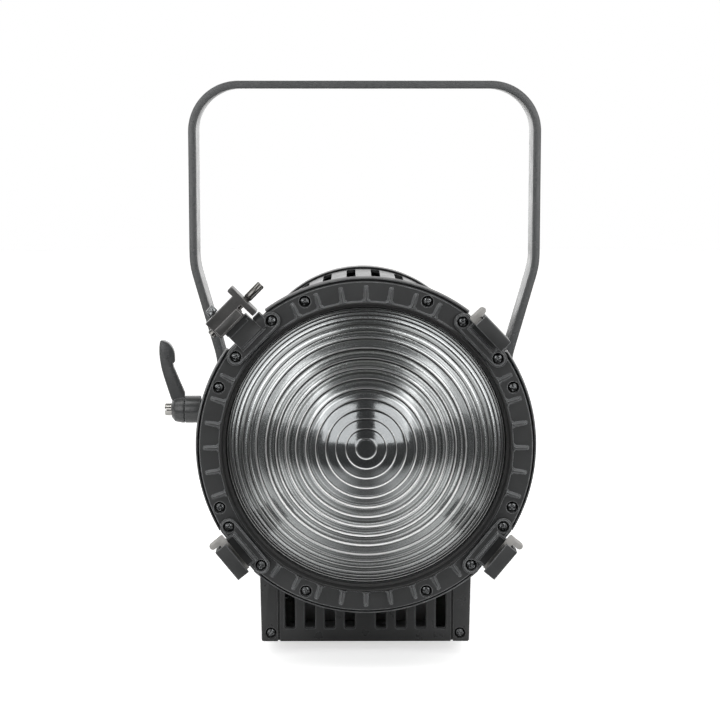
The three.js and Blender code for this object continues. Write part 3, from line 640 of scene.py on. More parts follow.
LENS_FACE_R = 100.2
LENS_PITCH = 7.1
LENS_EVEN_RINGS = 11  # rings of one pitch; towards the rim they get narrower
LENS_DOME = 13  # how far the middle stands in front of the rim
LENS_SIDES = 256
RISER_WIDTH = 0.5
LIP_EDGE_R = 118  # inner edge of the brackets' lips


def lens_rings():
    """Radii of the lens's steps, from the middle out."""
    radii = [LENS_PITCH * k for k in range(1, LENS_EVEN_RINGS + 1)]
    pitch = LENS_PITCH
    while radii[-1] + pitch * 0.8 < LENS_FACE_R - 1:
        pitch *= 0.8
        radii.append(radii[-1] + pitch)
    return radii + [LENS_FACE_R]


def facet_tilt(radius):
    """Degrees that a ring's facet leans; the outer ones lean less, to look past the brackets."""
    steepest, middle_part, lip_reach = 33, 38, 44
    rising = steepest * (1 - math.exp(-radius / middle_part))
    past_brackets = math.degrees(math.atan((LIP_EDGE_R - radius) / lip_reach)) / 2
    return min(rising, past_brackets)


def crest_width(radius):
    return 0.46 + 0.5 * min(1, radius / 45) if radius < 80 else 0.42


def facet(inner, outer, top):
    """Points of one ring from its crest to the foot of its riser, with the facet slightly hollow."""
    width = crest_width(inner)
    start, end, parts = inner + width + 0.1, outer - RISER_WIDTH, 6
    step = (end - start) / parts
    tilt = facet_tilt((inner + outer) / 2)
    depth = top + 0.04
    points = [(inner + 0.3, top + 0.35), (inner + 0.42, top + 0.1), (inner + width, top), (start, depth)]
    for k in range(parts):
        lean = tilt + (3 + 6 * inner / LENS_FACE_R) * ((k + 0.5) / parts - 0.5)
        depth += step * math.tan(math.radians(lean))
        points.append((start + step * (k + 1), depth))
    return points + [(outer, depth + 0.4)]


def fresnel_lens():
    """The stepped lens: each ring is a sloped facet between a riser and a crest, marked for painted shade and
    a painted highlight.
    """
    low, high = about_axis("fresnel_lens")
    radii = lens_rings()
    first = radii[0]
    points = [(0, low.y + 0.1), (first * 0.5, low.y + 0.12), (first * 0.9, low.y + 0.2), (first, low.y + 0.9)]
    crests, risers = [], []
    for inner, outer in zip(radii, radii[1:]):
        points += facet(inner, outer, low.y + LENS_DOME * (inner / LENS_FACE_R) ** 2)
        crests.append((inner, inner + crest_width(inner)))
        risers.append((outer - RISER_WIDTH, outer))
    rim_y = low.y + LENS_DOME + 1.4
    points += [(LENS_FACE_R, rim_y), (high.x - 0.6, rim_y), (high.x, rim_y + 0.6)]
    body = lathe(points + [(high.x, high.y), (0, high.y)], LENS_SIDES, closed=False)
    # Crest faces are marked for a painted highlight and riser faces for painted shade.
    crest = body.faces.layers.float.new("crest")
    riser = body.faces.layers.float.new("riser")
    for face in body.faces:
        centre = face.calc_center_median()
        radius = math.hypot(centre.x, centre.z) / math.cos(math.pi / LENS_SIDES)
        if centre.y < rim_y:
            face[crest] = any(a < radius < b for a, b in crests)
            face[riser] = any(a < radius < b for a, b in risers)
    stand_in("fresnel_lens", body, angle=22)


def lens_gasket():
    low, high = about_axis("lens_gasket")
    ring = [(OPENING_R, low.y), (high.x, low.y), (high.x, high.y), (OPENING_R, high.y)]
    stand_in("lens_gasket", lathe(rounded(ring, 0.8), 192))


RIB_PITCH = 9
RIB_END, RIB_HALF = 115.9, 1.1
RIB_HEIGHT = 2.3
LIP_IN, LIP_OUT = 103.6, 104.8
SLOPE_PAINTED_HIGHLIGHT = 0.3  # how pale the ribs' and the lip's slopes are painted: a painted highlight


def rib_angles():
    """Angles of the bezel's ribs; none stands beside a bracket."""
    clear = 13

    def apart(a, b):
        return abs((a - b + 180) % 360 - 180)

    return [a for a in range(0, 360, RIB_PITCH) if all(apart(a, b) > clear for b in BRACKET_ANGLES)]


def lens_bezel():
    """The clamping ring: a raised lip, and radial ribs that flare where they meet it."""
    ribs = rib_angles()
    # Rows of edges stand close together where a rib rises, both round the ring and along it.
    side = [0.225, 0.45, 0.675, 0.9, 1.17, 1.53, 1.98, 2.52, 3.24]
    offsets = [-RIB_PITCH / 2] + [-o for o in reversed(side)] + [0] + side
    turns = [math.radians(rib + o) for rib in range(0, 360, RIB_PITCH) for o in offsets]

    def rib_rise(radius, turn):
        nearest = round(math.degrees(turn) / RIB_PITCH) * RIB_PITCH % 360
        if nearest not in ribs or radius < LIP_OUT - 0.4 or radius > RIB_END + 1.2:
            return 0
        aside = abs(radius * math.sin(turn - math.radians(nearest)))
        flare = RIB_HALF + 2.2 * max(0, 1 - (radius - LIP_OUT) / 2.6) ** 2
        end = max(0, radius - (RIB_END - RIB_HALF))
        reach = math.hypot(aside, end)
        edge = max(0.0, min(1.0, (flare + 0.45 - reach) / 0.9))
        return RIB_HEIGHT * edge * edge * (3 - 2 * edge)

    def shape(radius, y, turn):
        on_face = abs(y - FACE_Y) < 0.02
        return radius, y - (rib_rise(radius, turn) if on_face else 0)

    at_flare = [LIP_OUT + d for d in (0.5, 0.9, 1.4, 2, 2.7, 3.7)]
    at_end = [RIB_END + d for d in (-0.5, 0, 0.4, 0.8, 1.2, 1.7, 2.2, 2.9)]
    throat = [(LIP_IN + 0.6, LIP_Y + 0.6), (LIP_IN + 0.3, LIP_Y + 0.9)]
    throat += [(OPENING_R + 2, SEAM_Y - 2), (OPENING_R, SEAM_Y)]
    profile = throat[::-1] + [(LIP_OUT - 0.5, LIP_Y + 0.6), (LIP_OUT - 0.2, LIP_Y + 0.8)]
    profile.append((LIP_OUT + 0.45, FACE_Y - 0.35))
    profile += [(radius, FACE_Y) for radius in at_flare + [110, 112, 114] + at_end]
    profile += [(BEZEL_R - 0.5, FACE_Y + 0.15), (BEZEL_R - 0.1, FACE_Y + 0.55)]
    profile += [(BEZEL_R, FACE_Y + 1.1), (BEZEL_R, SEAM_Y)]
    ring = lathe(profile, shape=shape, angles=turns)
    holes = []
    for x, z, seat in screw_places("bezel_screw", 8):
        holes += [head_recess(x, z, seat, HEAD_R + 0.55, 8, 48), screw_hole(x, z, seat)]
    for x, z, seat in screw_places("bracket_screw", 8):
        holes.append(screw_hole(x, z, seat, 9, 14))
    shown = stand_in("lens_bezel", cut(ring, *holes), angle=40)
    # The sloped faces of the ribs and the lip get a painted highlight, a paler tone than the coat.
    wear_and_painted_highlight = shown.data.attributes.new("wear_and_painted_highlight", "FLOAT", "FACE")
    for face in shown.data.polygons:
        offset = shown.matrix_world @ face.center - Vector((0, 0, AXIS_Z * MM))
        radius = math.hypot(offset.x, offset.z) / MM
        sloped = 0.12 < -face.normal.y < 0.93 and LIP_OUT - 0.6 < radius < RIB_END + 1.2
        wear_and_painted_highlight.data[face.index].value = SLOPE_PAINTED_HIGHLIGHT if sloped and offset.y / MM < FACE_Y else 0
    # A near-black liner over the throat: painted shade where the throat lies in shadow.
    shade_liner = [(OPENING_R - 0.4, SEAM_Y), (OPENING_R - 0.1, SEAM_Y - 2), (OPENING_R + 0.6, SEAM_Y - 2.2)]
    shade_liner += [(OPENING_R + 1.3, SEAM_Y - 2.3), (LIP_IN - 0.5, LIP_Y + 0.6), (LIP_IN - 0.1, LIP_Y + 0.1)]
    shade_liner += [(LIP_IN + 0.3, LIP_Y), (LIP_OUT - 0.5, LIP_Y), (LIP_OUT - 0.2, LIP_Y + 0.2)]
    shade_liner += [(LIP_OUT - 0.2, LIP_Y + 0.6)] + throat
    shown = show("bezel_throat_shade_liner", lathe(shade_liner, 256), slot="rubber_black")
    shown.data.materials[0] = THROAT_SHADE


def front_casting():
    """The die-cast front: flange, cone and collar, notched at the brackets."""
    low, high = about_axis("front_casting")
    flange_r, collar_r, inside_r, web_r = 122.4, 103.5, 98, 80
    lens_seat_r, lens_seat_y = 104, -152.7
    drum_seat_r, drum_seat_y = DRUM_R + 0.4, DRUM_LOW.y - 0.3
    rim_in, rim_out, rim_y = 120.5, 121.6, low.y - 4.2
    rim = [(lens_seat_r, low.y), (rim_in, low.y), (rim_in + 0.1, rim_y), (rim_out, rim_y)]
    cone = [(flange_r, -157.4), (118, -150), (111.5, -136), (collar_r + 0.8, -120), (collar_r, -117)]
    collar = [(collar_r, high.y), (drum_seat_r, high.y), (drum_seat_r, drum_seat_y), (web_r, drum_seat_y)]
    inside = [(web_r, -116), (inside_r, -116), (inside_r, lens_seat_y), (lens_seat_r, lens_seat_y)]
    body = lathe(rounded(rim + cone + collar + inside, 0.7, 3), 256)
    groove_in, groove_out, groove_y = 118, rim_in - 0.1, low.y + 3
    groove = [(groove_in, low.y - 1), (groove_out, low.y - 1), (groove_out, groove_y), (groove_in, groove_y)]
    cutters = [lathe(groove, 256)]
    for angle in BRACKET_ANGLES:
        notch = block((-19.5, low.y - 9, 118.6), (19.5, -148, 132))
        cutters.append(spun(notch, angle))
    for x, z, seat in screw_places("bezel_screw", 8) + screw_places("bracket_screw", 8):
        cutters.append(screw_hole(x, z, seat))
    for name in ("guide_rod_left", "guide_rod_right"):
        place = middle(name)
        cutters.append(rod(3.4, -120, -105, place.x, place.z - AXIS_Z, 20))
    lead = middle("focus_knob")
    cutters.append(rod(4.6, -120, -105, lead.x, lead.z - AXIS_Z, 20))
    stand_in("front_casting", cut(body, *cutters), angle=35)


# ---------------------------------------------------------------- accessory brackets

TAB_BACK_Y = FACE_Y - 0.3
TAB_FRONT_Y = TAB_BACK_Y - 4
TAB_SCREW = (18.1, 112.1)  # tangential and square distance of a bracket's screws
TAB_R = 6.3
SEAT_Y = FACE_Y - 6  # the bracket's floor, on which the accessory frame sits


def bracket_tab():
    """The tab under a bracket: round ends with a raised rim about each screw."""
    t, r = TAB_SCREW
    tab = bevelled(prism(stadium((-t, r), (t, r), TAB_R, 16), TAB_FRONT_Y - 0.5, TAB_BACK_Y), 0.35)
    dish = prism(stadium((-t, r), (t, r), TAB_R - 1.3, 14), TAB_FRONT_Y - 3, TAB_FRONT_Y + 0.2)
    return cut(tab, bevelled(dish, 0.25, 1))


def tab_holes():
    t, r = TAB_SCREW
    seat = TAB_FRONT_Y + 2.3
    holes = []
    for side in (-1, 1):
        holes += [head_recess(side * t, r, seat), screw_hole(side * t, r, seat, below=14)]
    return holes


def accessory_bracket(name):
    """A fixed bracket: a channel whose outer wall ends in a lip over the accessory frame."""
    lip_y = about_axis("accessory_bracket_" + name)[0].y
    half, foot, wall_in, wall_out = 12.8, 110.8, 124.6, 127.2
    lip_back, lip_edge = lip_y + 2.2, LIP_EDGE_R - 0.5
    sill = [(SEAT_Y - 1.2, foot), (SEAT_Y - 1.2, foot + 1), (SEAT_Y - 2.5, foot + 1.2)]
    sill += [(SEAT_Y - 2.5, foot + 2.6), (SEAT_Y, foot + 3)]
    lip = [(lip_back, wall_in + 0.2), (lip_back, lip_edge), (lip_y, lip_edge), (lip_y, wall_out)]
    outline = [(TAB_BACK_Y, foot)] + sill + [(SEAT_Y, wall_in)] + lip + [(TAB_BACK_Y, wall_out)]
    profile = bevelled(channel(rounded(outline, 0.35, 2), -half, half), 0.3, 2, 50)
    end_ribs = []
    for x0, x1 in ((-half, 1.2 - half), (half - 1.2, half)):
        end_ribs.append(block((x0, SEAT_Y - 1.1, 113), (x1, SEAT_Y + 2, 126)))
    body = join(bracket_tab(), profile, *end_ribs)
    stand_in("accessory_bracket_" + name, cut(body, *tab_holes()), PLACES[name], 30)


def leaf_spring(name):
    """The leaf spring: a bowed bar whose one leg sticks out past the bracket's upper end."""
    side = 1 if name == "lower_left" else -1
    bar_low, bar_high, leg_top = 117.6, 123.4, 130.4
    inner, outer, plain_end = 13.3, 18.4, 12.4
    leg_r = (outer - inner) / 2
    leg = arc(inner + leg_r, leg_top - leg_r, leg_r, 0, 180, 12)
    outline = [(-plain_end, bar_low), (outer - 1, bar_low), (outer, bar_low + 1)]
    outline += leg + [(inner, bar_high), (-plain_end, bar_high)]
    sheet = prism([(side * x, z) for x, z in outline], -178.9, -178.1)
    bmesh.ops.triangulate(sheet, faces=[f for f in sheet.faces if len(f.verts) > 4])
    for k in range(-11, 12):
        everything = sheet.verts[:] + sheet.edges[:] + sheet.faces[:]
        bmesh.ops.bisect_plane(sheet, geom=everything, plane_co=(k * 1.5, 0, 0), plane_no=(1, 0, 0))
    for vert in sheet.verts:
        vert.co.y -= 2.2 * (1 - (vert.co.x / outer) ** 2)
        vert.co.y -= 0.9 * max(0, vert.co.z - bar_high) / (leg_top - bar_high)
    stand_in("leaf_spring_" + name, bevelled(welded(sheet), 0.2, 1, 50), PLACES[name], 40)


# ---------------------------------------------------------------- gate on the upper left bracket

PIN_R = 135.5  # height of the hinge pin above the lens axis, with the gate drawn at the top
PIN_Y = middle("gate_hinge_pin").y
PLUNGER_X, PLUNGER_Y = -5.6, -180.5


def gate_pieces():
    """The gate's bracket, its hinged plate, and the pin, spring and plunger that hold it."""
    place = PLACES["upper_left"]
    half = 11.2
    tab = bracket_tab()
    sill_y = SEAT_Y - 2.5
    outline = [(TAB_BACK_Y, 111), (sill_y, 111), (sill_y, 113), (SEAT_Y, 113.4), (SEAT_Y, 125.6)]
    outline += [(sill_y, 126), (sill_y, 129), (TAB_BACK_Y, 129)]
    floor = bevelled(channel(rounded(outline, 0.35, 2), -half, half), 0.3, 2, 50)
    floor = cut(floor, block((9.2, -180, 121.5), (half + 1, -150, 131)))
    web_side = [(sill_y, 124), (sill_y, PIN_R + 1), (TAB_BACK_Y, PIN_R + 1), (TAB_BACK_Y, 124)]
    web = channel(rounded(web_side, 0.8), -10.5, 7)
    barrel = rod(4.5, -10.5, 7, segments=40)
    knuckle = across(bevelled(barrel, 0.4), PIN_Y, PIN_R)
    bore = across(rod(2.6, -12, 12, segments=24), PIN_Y, PIN_R)
    keeper_side = [(-176, 112), (-176, 120), (-173, 123), (TAB_BACK_Y, 123), (TAB_BACK_Y, 112)]
    keeper = bevelled(channel(rounded(keeper_side, 1.5, 4), 10, 16.6), 0.5, 2, 50)
    body = cut(join(tab, floor, web, knuckle, keeper), bore, *tab_holes())
    stand_in("gate_bracket", body, place, 30)

    front = bevelled(block((-14, -188, 129), (17.4, -185.8, 144.2)), 0.4)
    ear_side = [(-188, 131), (-188, 142), (-176, 141.5), (-172.6, 138.5), (-172.6, 132.5), (-176, 131)]
    left_ear = bevelled(channel(rounded(ear_side, 2.5, 5), -14, -11.4), 0.3, 2, 50)
    thumb_side = rounded([(-188, 124.4), (-188, 149.4), (-172.6, 149.4), (-172.6, 124.4)], 1.5, 5)
    thumb = bevelled(channel(thumb_side, 13, 17.4), 0.6, 3, 50)
    flange = bevelled(block((-14, -188, 142), (12.4, -177.5, 144.2)), 0.4)
    step = bevelled(block((-12.8, -188.7, 130.2), (8.6, -187, 136.2)), 0.35)
    gate = join(front, left_ear, thumb, flange, step)
    gate = cut(gate, bevelled(block((9.6, -195, 122), (13, -170, 136)), 0.5))
    gate_bore = across(rod(2.7, -16, 20, segments=24), PIN_Y, PIN_R)
    plunger_at = Matrix.Translation((PLUNGER_X, PLUNGER_Y, 143)) @ ALONG_Z
    plunger_hole = moved(rod(2, -4, 4, segments=20), plunger_at)
    shown = stand_in("latch_gate", cut(gate, gate_bore, plunger_hole), place, 30)
    shown.data.materials[0] = WORN_CAST

    shaft = [(0, -18.4), (2.4, -18.2), (3.1, -17.6), (3.1, -15.6), (2.4, -15.4), (2.4, 18.1)]
    shaft += [(2.8, 18.4), (3, 18.9), (3, 31.4), (2.4, 32.2), (0, 32.2)]
    shown = stand_in("gate_hinge_pin", across(lathe(shaft, 40, closed=False), PIN_Y, PIN_R), place, 40)
    shown.data.materials[0] = PIN_STEEL
    stand_in("gate_spring", across(spring_coil(3.5, 0.6, 7.7, 9.9, 1.6), PIN_Y, PIN_R), place, 60)

    def knurl(radius, y, turn):
        if 145 < y < 149.6 and radius > 3:
            radius += 0.14 * (1 if int(round(turn / math.radians(5))) % 2 else -1)
        return radius, y

    shank = [(0, 140.6), (1.2, 140.6), (1.6, 141), (1.6, 144.6)]
    grip = [(3.2, 144.6), (3.5, 145.1), (3.5, 149.5), (3.1, 150), (0, 150)]
    plunger = lathe(shank + grip, 72, closed=False, shape=knurl)
    plunger_at = Matrix.Translation((PLUNGER_X, PLUNGER_Y, 0)) @ ALONG_Z
    stand_in("gate_plunger", moved(plunger, plunger_at), place, 40)


def spring_coil(radius, wire, y0, y1, turns):
    """A closed helical wire along Y."""
    bm = bmesh.new()
    sides, steps = 8, int(turns * 28)
    rings = []
    for i in range(steps + 1):
        share = i / steps
        turn = share * turns * 2 * math.pi
        middle_y = y0 + wire + (y1 - y0 - 2 * wire) * share
        ring = []
        for k in range(sides):
            a = 2 * math.pi * k / sides
            out, y = radius + wire * math.cos(a), middle_y + wire * math.sin(a)
            ring.append(bm.verts.new((out * math.cos(turn), y, out * math.sin(turn))))
        rings.append(ring)
    return lofted(bm, rings)


# ---------------------------------------------------------------- drum and rear

VENT_PITCH = 12.4
VENT_COUNT = 12
VENT_HALF = 3.9
VENT_ROWS = [(-90, -20), (104, 188)]


def drum_housing():
    """The drum: a rolled tube with long vents over the top and a boss at each pivot."""
    wall = 2.5
    inner = DRUM_R - wall
    y0, y1 = DRUM_LOW.y, DRUM_HIGH.y
    about_vents = [(DRUM_R, y) for y in (y0 + 20, -12, 96)]  # rows of edges that keep the shading even
    profile = [(inner, y0), (DRUM_R - 0.5, y0), (DRUM_R, y0 + 0.5)] + about_vents
    profile += [(DRUM_R, y1 - 0.5), (DRUM_R - 0.5, y1), (inner, y1)]
    tube = lathe(profile, 192)
    boss_reach = DRUM_HIGH.x
    pieces = []
    for side in (-1, 1):
        dome = [(0, 84), (22, 84), (22, boss_reach - 0.8), (21.2, boss_reach), (0, boss_reach)]
        boss = lathe([(r, side * y) for r, y in dome], 48, closed=False)
        pieces.append(moved(boss, Matrix.Translation((0, 0, TILT_Z)) @ ALONG_X))
    bore = rod(inner, -60, 60, segments=192)
    body = cut(join(tube, *pieces), bore)
    cutters = []
    for y_start, y_end in VENT_ROWS:
        for i in range(VENT_COUNT):
            angle = 90 + (i - (VENT_COUNT - 1) / 2) * VENT_PITCH
            cutters.append(spun(slot_cutter(VENT_HALF, y_start, y_end), angle))
    hole = across(rod(5.2, -120, 120, segments=32), 0, TILT_Z)
    cutters += [hole, block((-22, 96, -105), (22, 140, -80))]
    stand_in("drum_housing", cut(body, *cutters), angle=30)


def slot_cutter(half, y0, y1):
    """A cutter through the top of the drum: a slot along Y with round ends."""
    outline = stadium((0, y0 + half), (0, y1 - half), half, 10)
    bm = prism(outline, 80, 110)
    swap = Matrix(((1, 0, 0, 0), (0, 0, 1, 0), (0, 1, 0, 0), (0, 0, 0, 1)))
    return welded(moved(bm, swap))


def rear_cover():
    """The rear cap with its fan grille."""
    low, high = about_axis("rear_cover")
    cap_r = high.x
    inside_r = DRUM_R + 0.4
    wall_y = high.y - 3.5
    stop_r, stop_y, grille_r = 92, DRUM_HIGH.y + 0.3, 58
    inside = [(0, wall_y), (stop_r, wall_y), (stop_r, stop_y), (inside_r, stop_y), (inside_r, low.y)]
    outside = [(cap_r, low.y), (cap_r, high.y - 2.4), (cap_r - 2.4, high.y)]
    grille = [(grille_r, high.y), (grille_r - 1.5, high.y - 0.9), (0, high.y - 0.9)]
    body = lathe(rounded(inside + outside + grille, 0.8, 4, False), 192, closed=False)
    cutters = []
    for k in range(-4, 5):
        z = 11 * k
        half = math.sqrt(50**2 - z**2) - 3
        cutters.append(prism(stadium((-half, z), (half, z), 3, 10), wall_y - 1, high.y + 1))
    lead = middle("focus_knob")
    cutters.append(rod(4.6, 195, 220, lead.x, lead.z - AXIS_Z, 24))
    stand_in("rear_cover", cut(body, *cutters), angle=30)
    for angle in (45, 135, 225, 315):
        x, z = 80 * math.cos(math.radians(angle)), 80 * math.sin(math.radians(angle))
        turn = Matrix.Rotation(math.pi, 4, "Z") @ Matrix.Rotation(dice.uniform(0, 1.5), 4, "Y")
        place = LIFT @ Matrix.Translation((x, high.y, z)) @ turn
        show(f"rear_cover_screw_{angle}", screw_head(), place, "screw_black")


# ---------------------------------------------------------------- yoke and tilt lock

YOKE_WIDTH, YOKE_THICK = 38, 6


def yoke_path():
    """The bar's middle line from the left foot over the top to the right foot, as (x, z) points."""
    high = about_axis("yoke")[1]
    half = high.x - YOKE_THICK / 2
    top = high.z - YOKE_THICK / 2
    foot = 115.5 - YOKE_THICK / 2
    corner = 39 - YOKE_THICK / 2
    foot_r = YOKE_WIDTH // 2
    bends = rounded([(foot, TILT_Z), (foot, 44.7), (half, 119), (half, top - corner)], 9, 8, False)
    right = [(foot, TILT_Z - foot_r + k) for k in range(foot_r)] + bends
    right += arc(half - corner, top - corner, corner, 0, 90, 28)[1:]
    left = [(-x, z) for x, z in reversed(right)]
    return right + left


def yoke():
    """One flat bar, bent to a stirrup, with its edges eased and its feet round."""
    path = [Vector((x, z)) for x, z in yoke_path()]
    side = YOKE_THICK / 2
    ease = 0.9
    bm = bmesh.new()
    rings = []
    for i, here in enumerate(path):
        before, after = path[max(i - 1, 0)], path[min(i + 1, len(path) - 1)]
        along = (after - before).normalized()
        out = Vector((along.y, -along.x))
        below = TILT_Z - here.y
        half = YOKE_WIDTH / 2
        if below > 0:
            half = math.sqrt(max((YOKE_WIDTH / 2) ** 2 - below**2, 0.35))
        corners = [(-half, -side), (half, -side), (half, side), (-half, side)]
        section = rounded(corners, min(ease, half), 3)
        rings.append([bm.verts.new((here.x + out.x * v, u, here.y + out.y * v)) for u, v in section])
    body = lofted(bm, rings)
    top = about_axis("yoke")[1].z
    cutters = [across(rod(5.4, -131, 131, segments=32), 0, TILT_Z)]
    for x, radius in ((0, 6.5), (-45, 5.5), (45, 5.5)):
        cutters.append(moved(rod(radius, -12, 12, segments=36), Matrix.Translation((x, 0, top)) @ ALONG_Z))
    stand_in("yoke", cut(body, *cutters), angle=35)


def tilt_hardware():
    """The fixed bolt on the right and the stud, sleeve and lever of the tilt lock on the left."""
    low, high = about_axis("tilt_bolt")
    head_x, head_r = high.x, 9.6
    hexagon = prism(arc(0, 0, head_r, 0, 300, 5), head_x - 6.6, head_x)
    chamfer = [(0, head_x - 7), (head_r, head_x - 7), (head_r, head_x - 1.2), (8.2, head_x), (0, head_x)]
    head = overlap(hexagon, lathe(chamfer, 48, closed=False))
    washer = [(0, 115.8), (11.6, 115.8), (12, 116.2), (12, 117.2), (11.6, 117.6), (0, 117.6)]
    shank = [(0, low.x), (4.2, low.x), (4.8, low.x + 0.8), (4.8, 116.5), (0, 116.5)]
    bolt = join(head, lathe(washer, 48, closed=False), lathe(shank, 32, closed=False))
    stand_in("tilt_bolt", across(bolt, 0, TILT_Z), angle=30)
    for name in ("friction_disc_left", "friction_disc_right"):
        x0, x1 = [corner.x for corner in about_axis(name)]
        ring = [(5.2, x0), (19.6, x0), (20, x0 + 0.4), (20, x1 - 0.4), (19.6, x1), (5.2, x1)]
        stand_in(name, across(lathe(ring, 64), 0, TILT_Z))

    head_end = about_axis("lock_stud")[0].x
    stud = [(0, head_end), (4.4, head_end), (5, head_end + 0.6), (5, -153.6), (3.9, -153.6)]
    stud += [(3.9, -90.6), (3.4, -90), (0, -90)]
    slot = block((-6, head_end - 1, -0.6), (6, head_end + 1.7, 0.6))
    stand_in("lock_stud", across(cut(lathe(stud, 40, closed=False), slot), 0, TILT_Z), angle=30)

    sleeve = [(4.3, -142.5), (10.9, -142.5), (10.9, -130.2), (8.6, -130.2), (8.6, -115.9), (4.3, -115.9)]
    shown = stand_in("lock_sleeve", across(lathe(rounded(sleeve, 0.7, 4), 64), 0, TILT_Z), angle=30)
    shown.data.materials[0] = LEVER_PAINTED_HIGHLIGHT


def lock_lever():
    """The clamping lever: a tapered hub round the stud and an arm with a hooked thumb end."""
    hub = [(4.3, -142.9), (10.9, -142.9), (10.9, -144.5), (9.8, -150.6), (6.6, -153.2), (5.5, -153.2)]
    hub += [(5.5, -148), (4.3, -148)]
    hub_bm = across(lathe(rounded(hub, 0.8, 4), 72), 0, TILT_Z)
    outer = curve_points([(-158, 24.9), (-164.5, 45), (-161.7, 57.5)], 10)
    tip = curve_points([(-161.7, 57.5), (-149.5, 57), (-150.6, 39.6)], 10)
    arm = [(-151.5, TILT_Z + 5), (-153.8, 11.6)] + outer + tip[1:]
    arm += [(-152.4, 39.2), (-151.8, 36.6), (-142.9, 15), (-142.9, TILT_Z + 5)]
    blade = bevelled(prism(arm, -4.5, 4.5), 1.3, 4, 30)
    bore = across(rod(8, -156, -142, segments=32), 0, TILT_Z)
    shown = stand_in("lock_lever", join(hub_bm, cut(blade, bore)), angle=30)
    shown.data.materials[0] = LEVER_PAINTED_HIGHLIGHT


def curve_points(points, steps):
    """A quadratic curve through its first and last of three points."""
    a, b, c = [Vector(p) for p in points]
    shares = [k / steps for k in range(steps + 1)]
    return [tuple(a * (1 - t) ** 2 + b * 2 * t * (1 - t) + c * t**2) for t in shares]


# ---------------------------------------------------------------- base box


GROOVE_X = 65
BASE_VENT_X, BASE_VENT_PITCH = 11.65, 15  # first vent from the middle, and from vent to vent


def base_half(z):
    """Half width of the base at a height; its walls lean in toward the bottom."""
    return 78.9 - 0.019 * (-113 - z)


def base_outline(top):
    """The base seen from the front, up to a height, with its lower corners rounded."""
    corner = 1.5
    bottom = about_axis("base_shell")[0].z
    side = base_half(bottom)
    right = arc(side - corner, bottom + corner, corner, -90, 0, 5) + [(base_half(top), top)]
    return right + [(-x, z) for x, z in reversed(right)]


def base_front_panel():
    """The front panel: two corner posts beside a grooved-off field of upright vents."""
    low, high = about_axis("base_front_panel")
    body = bevelled(prism(base_outline(-60), low.y, high.y), 0.6, 3, 40)
    cutters = []
    for x in (-GROOVE_X, GROOVE_X):
        cutters.append(block((x - 0.9, low.y - 1, -160), (x + 0.9, low.y + 4, -50)))
    for i in range(4):
        for side in (-1, 1):
            x = side * (BASE_VENT_X + BASE_VENT_PITCH * i)
            cutters.append(prism(vent_outline(x, 3.75, -147.6), low.y - 1, high.y + 1))
            cutters.append(prism(vent_outline(x, 4.5, -148.3), low.y - 1, low.y + 1.6))
    for name in ("base_screw_left", "base_screw_right"):
        screw_low, screw_high = about_axis(name)
        centre = (screw_low + screw_high) / 2
        seat = screw_low.y + SCREW_HEAD_DEPTH
        cutters += [head_recess(centre.x, centre.z, seat), screw_hole(centre.x, centre.z, seat)]
    cutters.append(rod(104, -130, -90, segments=192))
    stand_in("base_front_panel", cut(body, *cutters), angle=30)


def vent_outline(x, half, bottom):
    """An upright opening with eased lower corners, open at the top."""
    top = -105
    corners = [(x - half, top), (x - half, bottom), (x + half, bottom), (x + half, top)]
    return rounded(corners, 1.9, 5, False)


# ---------------------------------------------------------------- controls at the rear

PANEL_Y = about_axis("control_panel")[1].y


def fluted_knob(radius, y0, y1):
    """A round grip with a skirt and flutes, axis along Y."""
    flutes = 24
    top_edge = y1 - 1.4

    def shape(r, y, turn):
        if y0 + 3 < y < top_edge and r > radius / 2:
            r -= 0.3 * (1 + math.cos(flutes * turn))
        return r, y

    skirt = [(0, y0), (radius - 0.3, y0), (radius, y0 + 0.3), (radius, y0 + 2), (radius - 0.6, y0 + 2.6)]
    grip = [(radius - 1, y0 + 2.9), (radius - 1, y0 + 3.1), (radius - 1.1, y0 + 4)]
    crown = [(radius - 1.5, top_edge - 0.4), (radius - 1.7, top_edge + 0.1), (radius - 2.6, y1 - 0.3)]
    crown += [(radius - 3.4, y1), (radius - 4.4, y1), (radius - 4.9, y1 - 0.5), (0, y1 - 0.7)]
    return lathe(skirt + grip + crown, flutes * 6, closed=False, shape=shape)


def facing(node_name):
    """A rear control's corners about the axis, its place, and half its width."""
    low, high = about_axis(node_name)
    centre = (low + high) / 2
    return low, high, LIFT @ Matrix.Translation((centre.x, 0, centre.z)), (high.x - low.x) / 2


def knobs():
    """The dimmer with its scale, and the focus knob on its threaded lead screw."""
    low, high, place, radius = facing("dimmer_knob")
    grip_y = PANEL_Y + 0.6
    spindle = rod(3, low.y, grip_y + 1)
    stand_in("dimmer_knob", join(fluted_knob(radius, grip_y, high.y), spindle), place)
    mark = block((-0.5, high.y - 1, 2.5), (0.5, high.y + 0.1, radius - 2))
    show("dimmer_mark", bevelled(mark, 0.1, 1), place, "bright_steel", "dimmer").data.materials[0] = PRINT
    ticks = []
    for k in range(11):
        turn = Matrix.Rotation(math.radians(-150 + 30 * k), 4, "Y")
        half = 0.45 if k % 5 else 0.7
        tick = block((-half, PANEL_Y - 0.2, radius + 2), (half, PANEL_Y + 0.12, radius + 4.2))
        ticks.append(moved(tick, turn))
    show("dimmer_scale", merged(*ticks), place, "bright_steel").data.materials[0] = PRINT

    low, high, place, radius = facing("focus_knob")
    grip_y = 210.4
    pitch, depth, thread_r = 2.5, 0.5, 4
    threads = []
    y = low.y
    while y + pitch < grip_y - 8:
        threads += [(thread_r - depth, y), (thread_r, y + 0.4 * pitch), (thread_r, y + 0.6 * pitch)]
        y += pitch
    end = [(thread_r, y + 1), (thread_r, grip_y + 1), (0, grip_y + 1)]
    screw = lathe([(0, low.y)] + threads + end, 24, closed=False)
    stand_in("focus_knob", join(fluted_knob(radius, grip_y, high.y), screw), place)


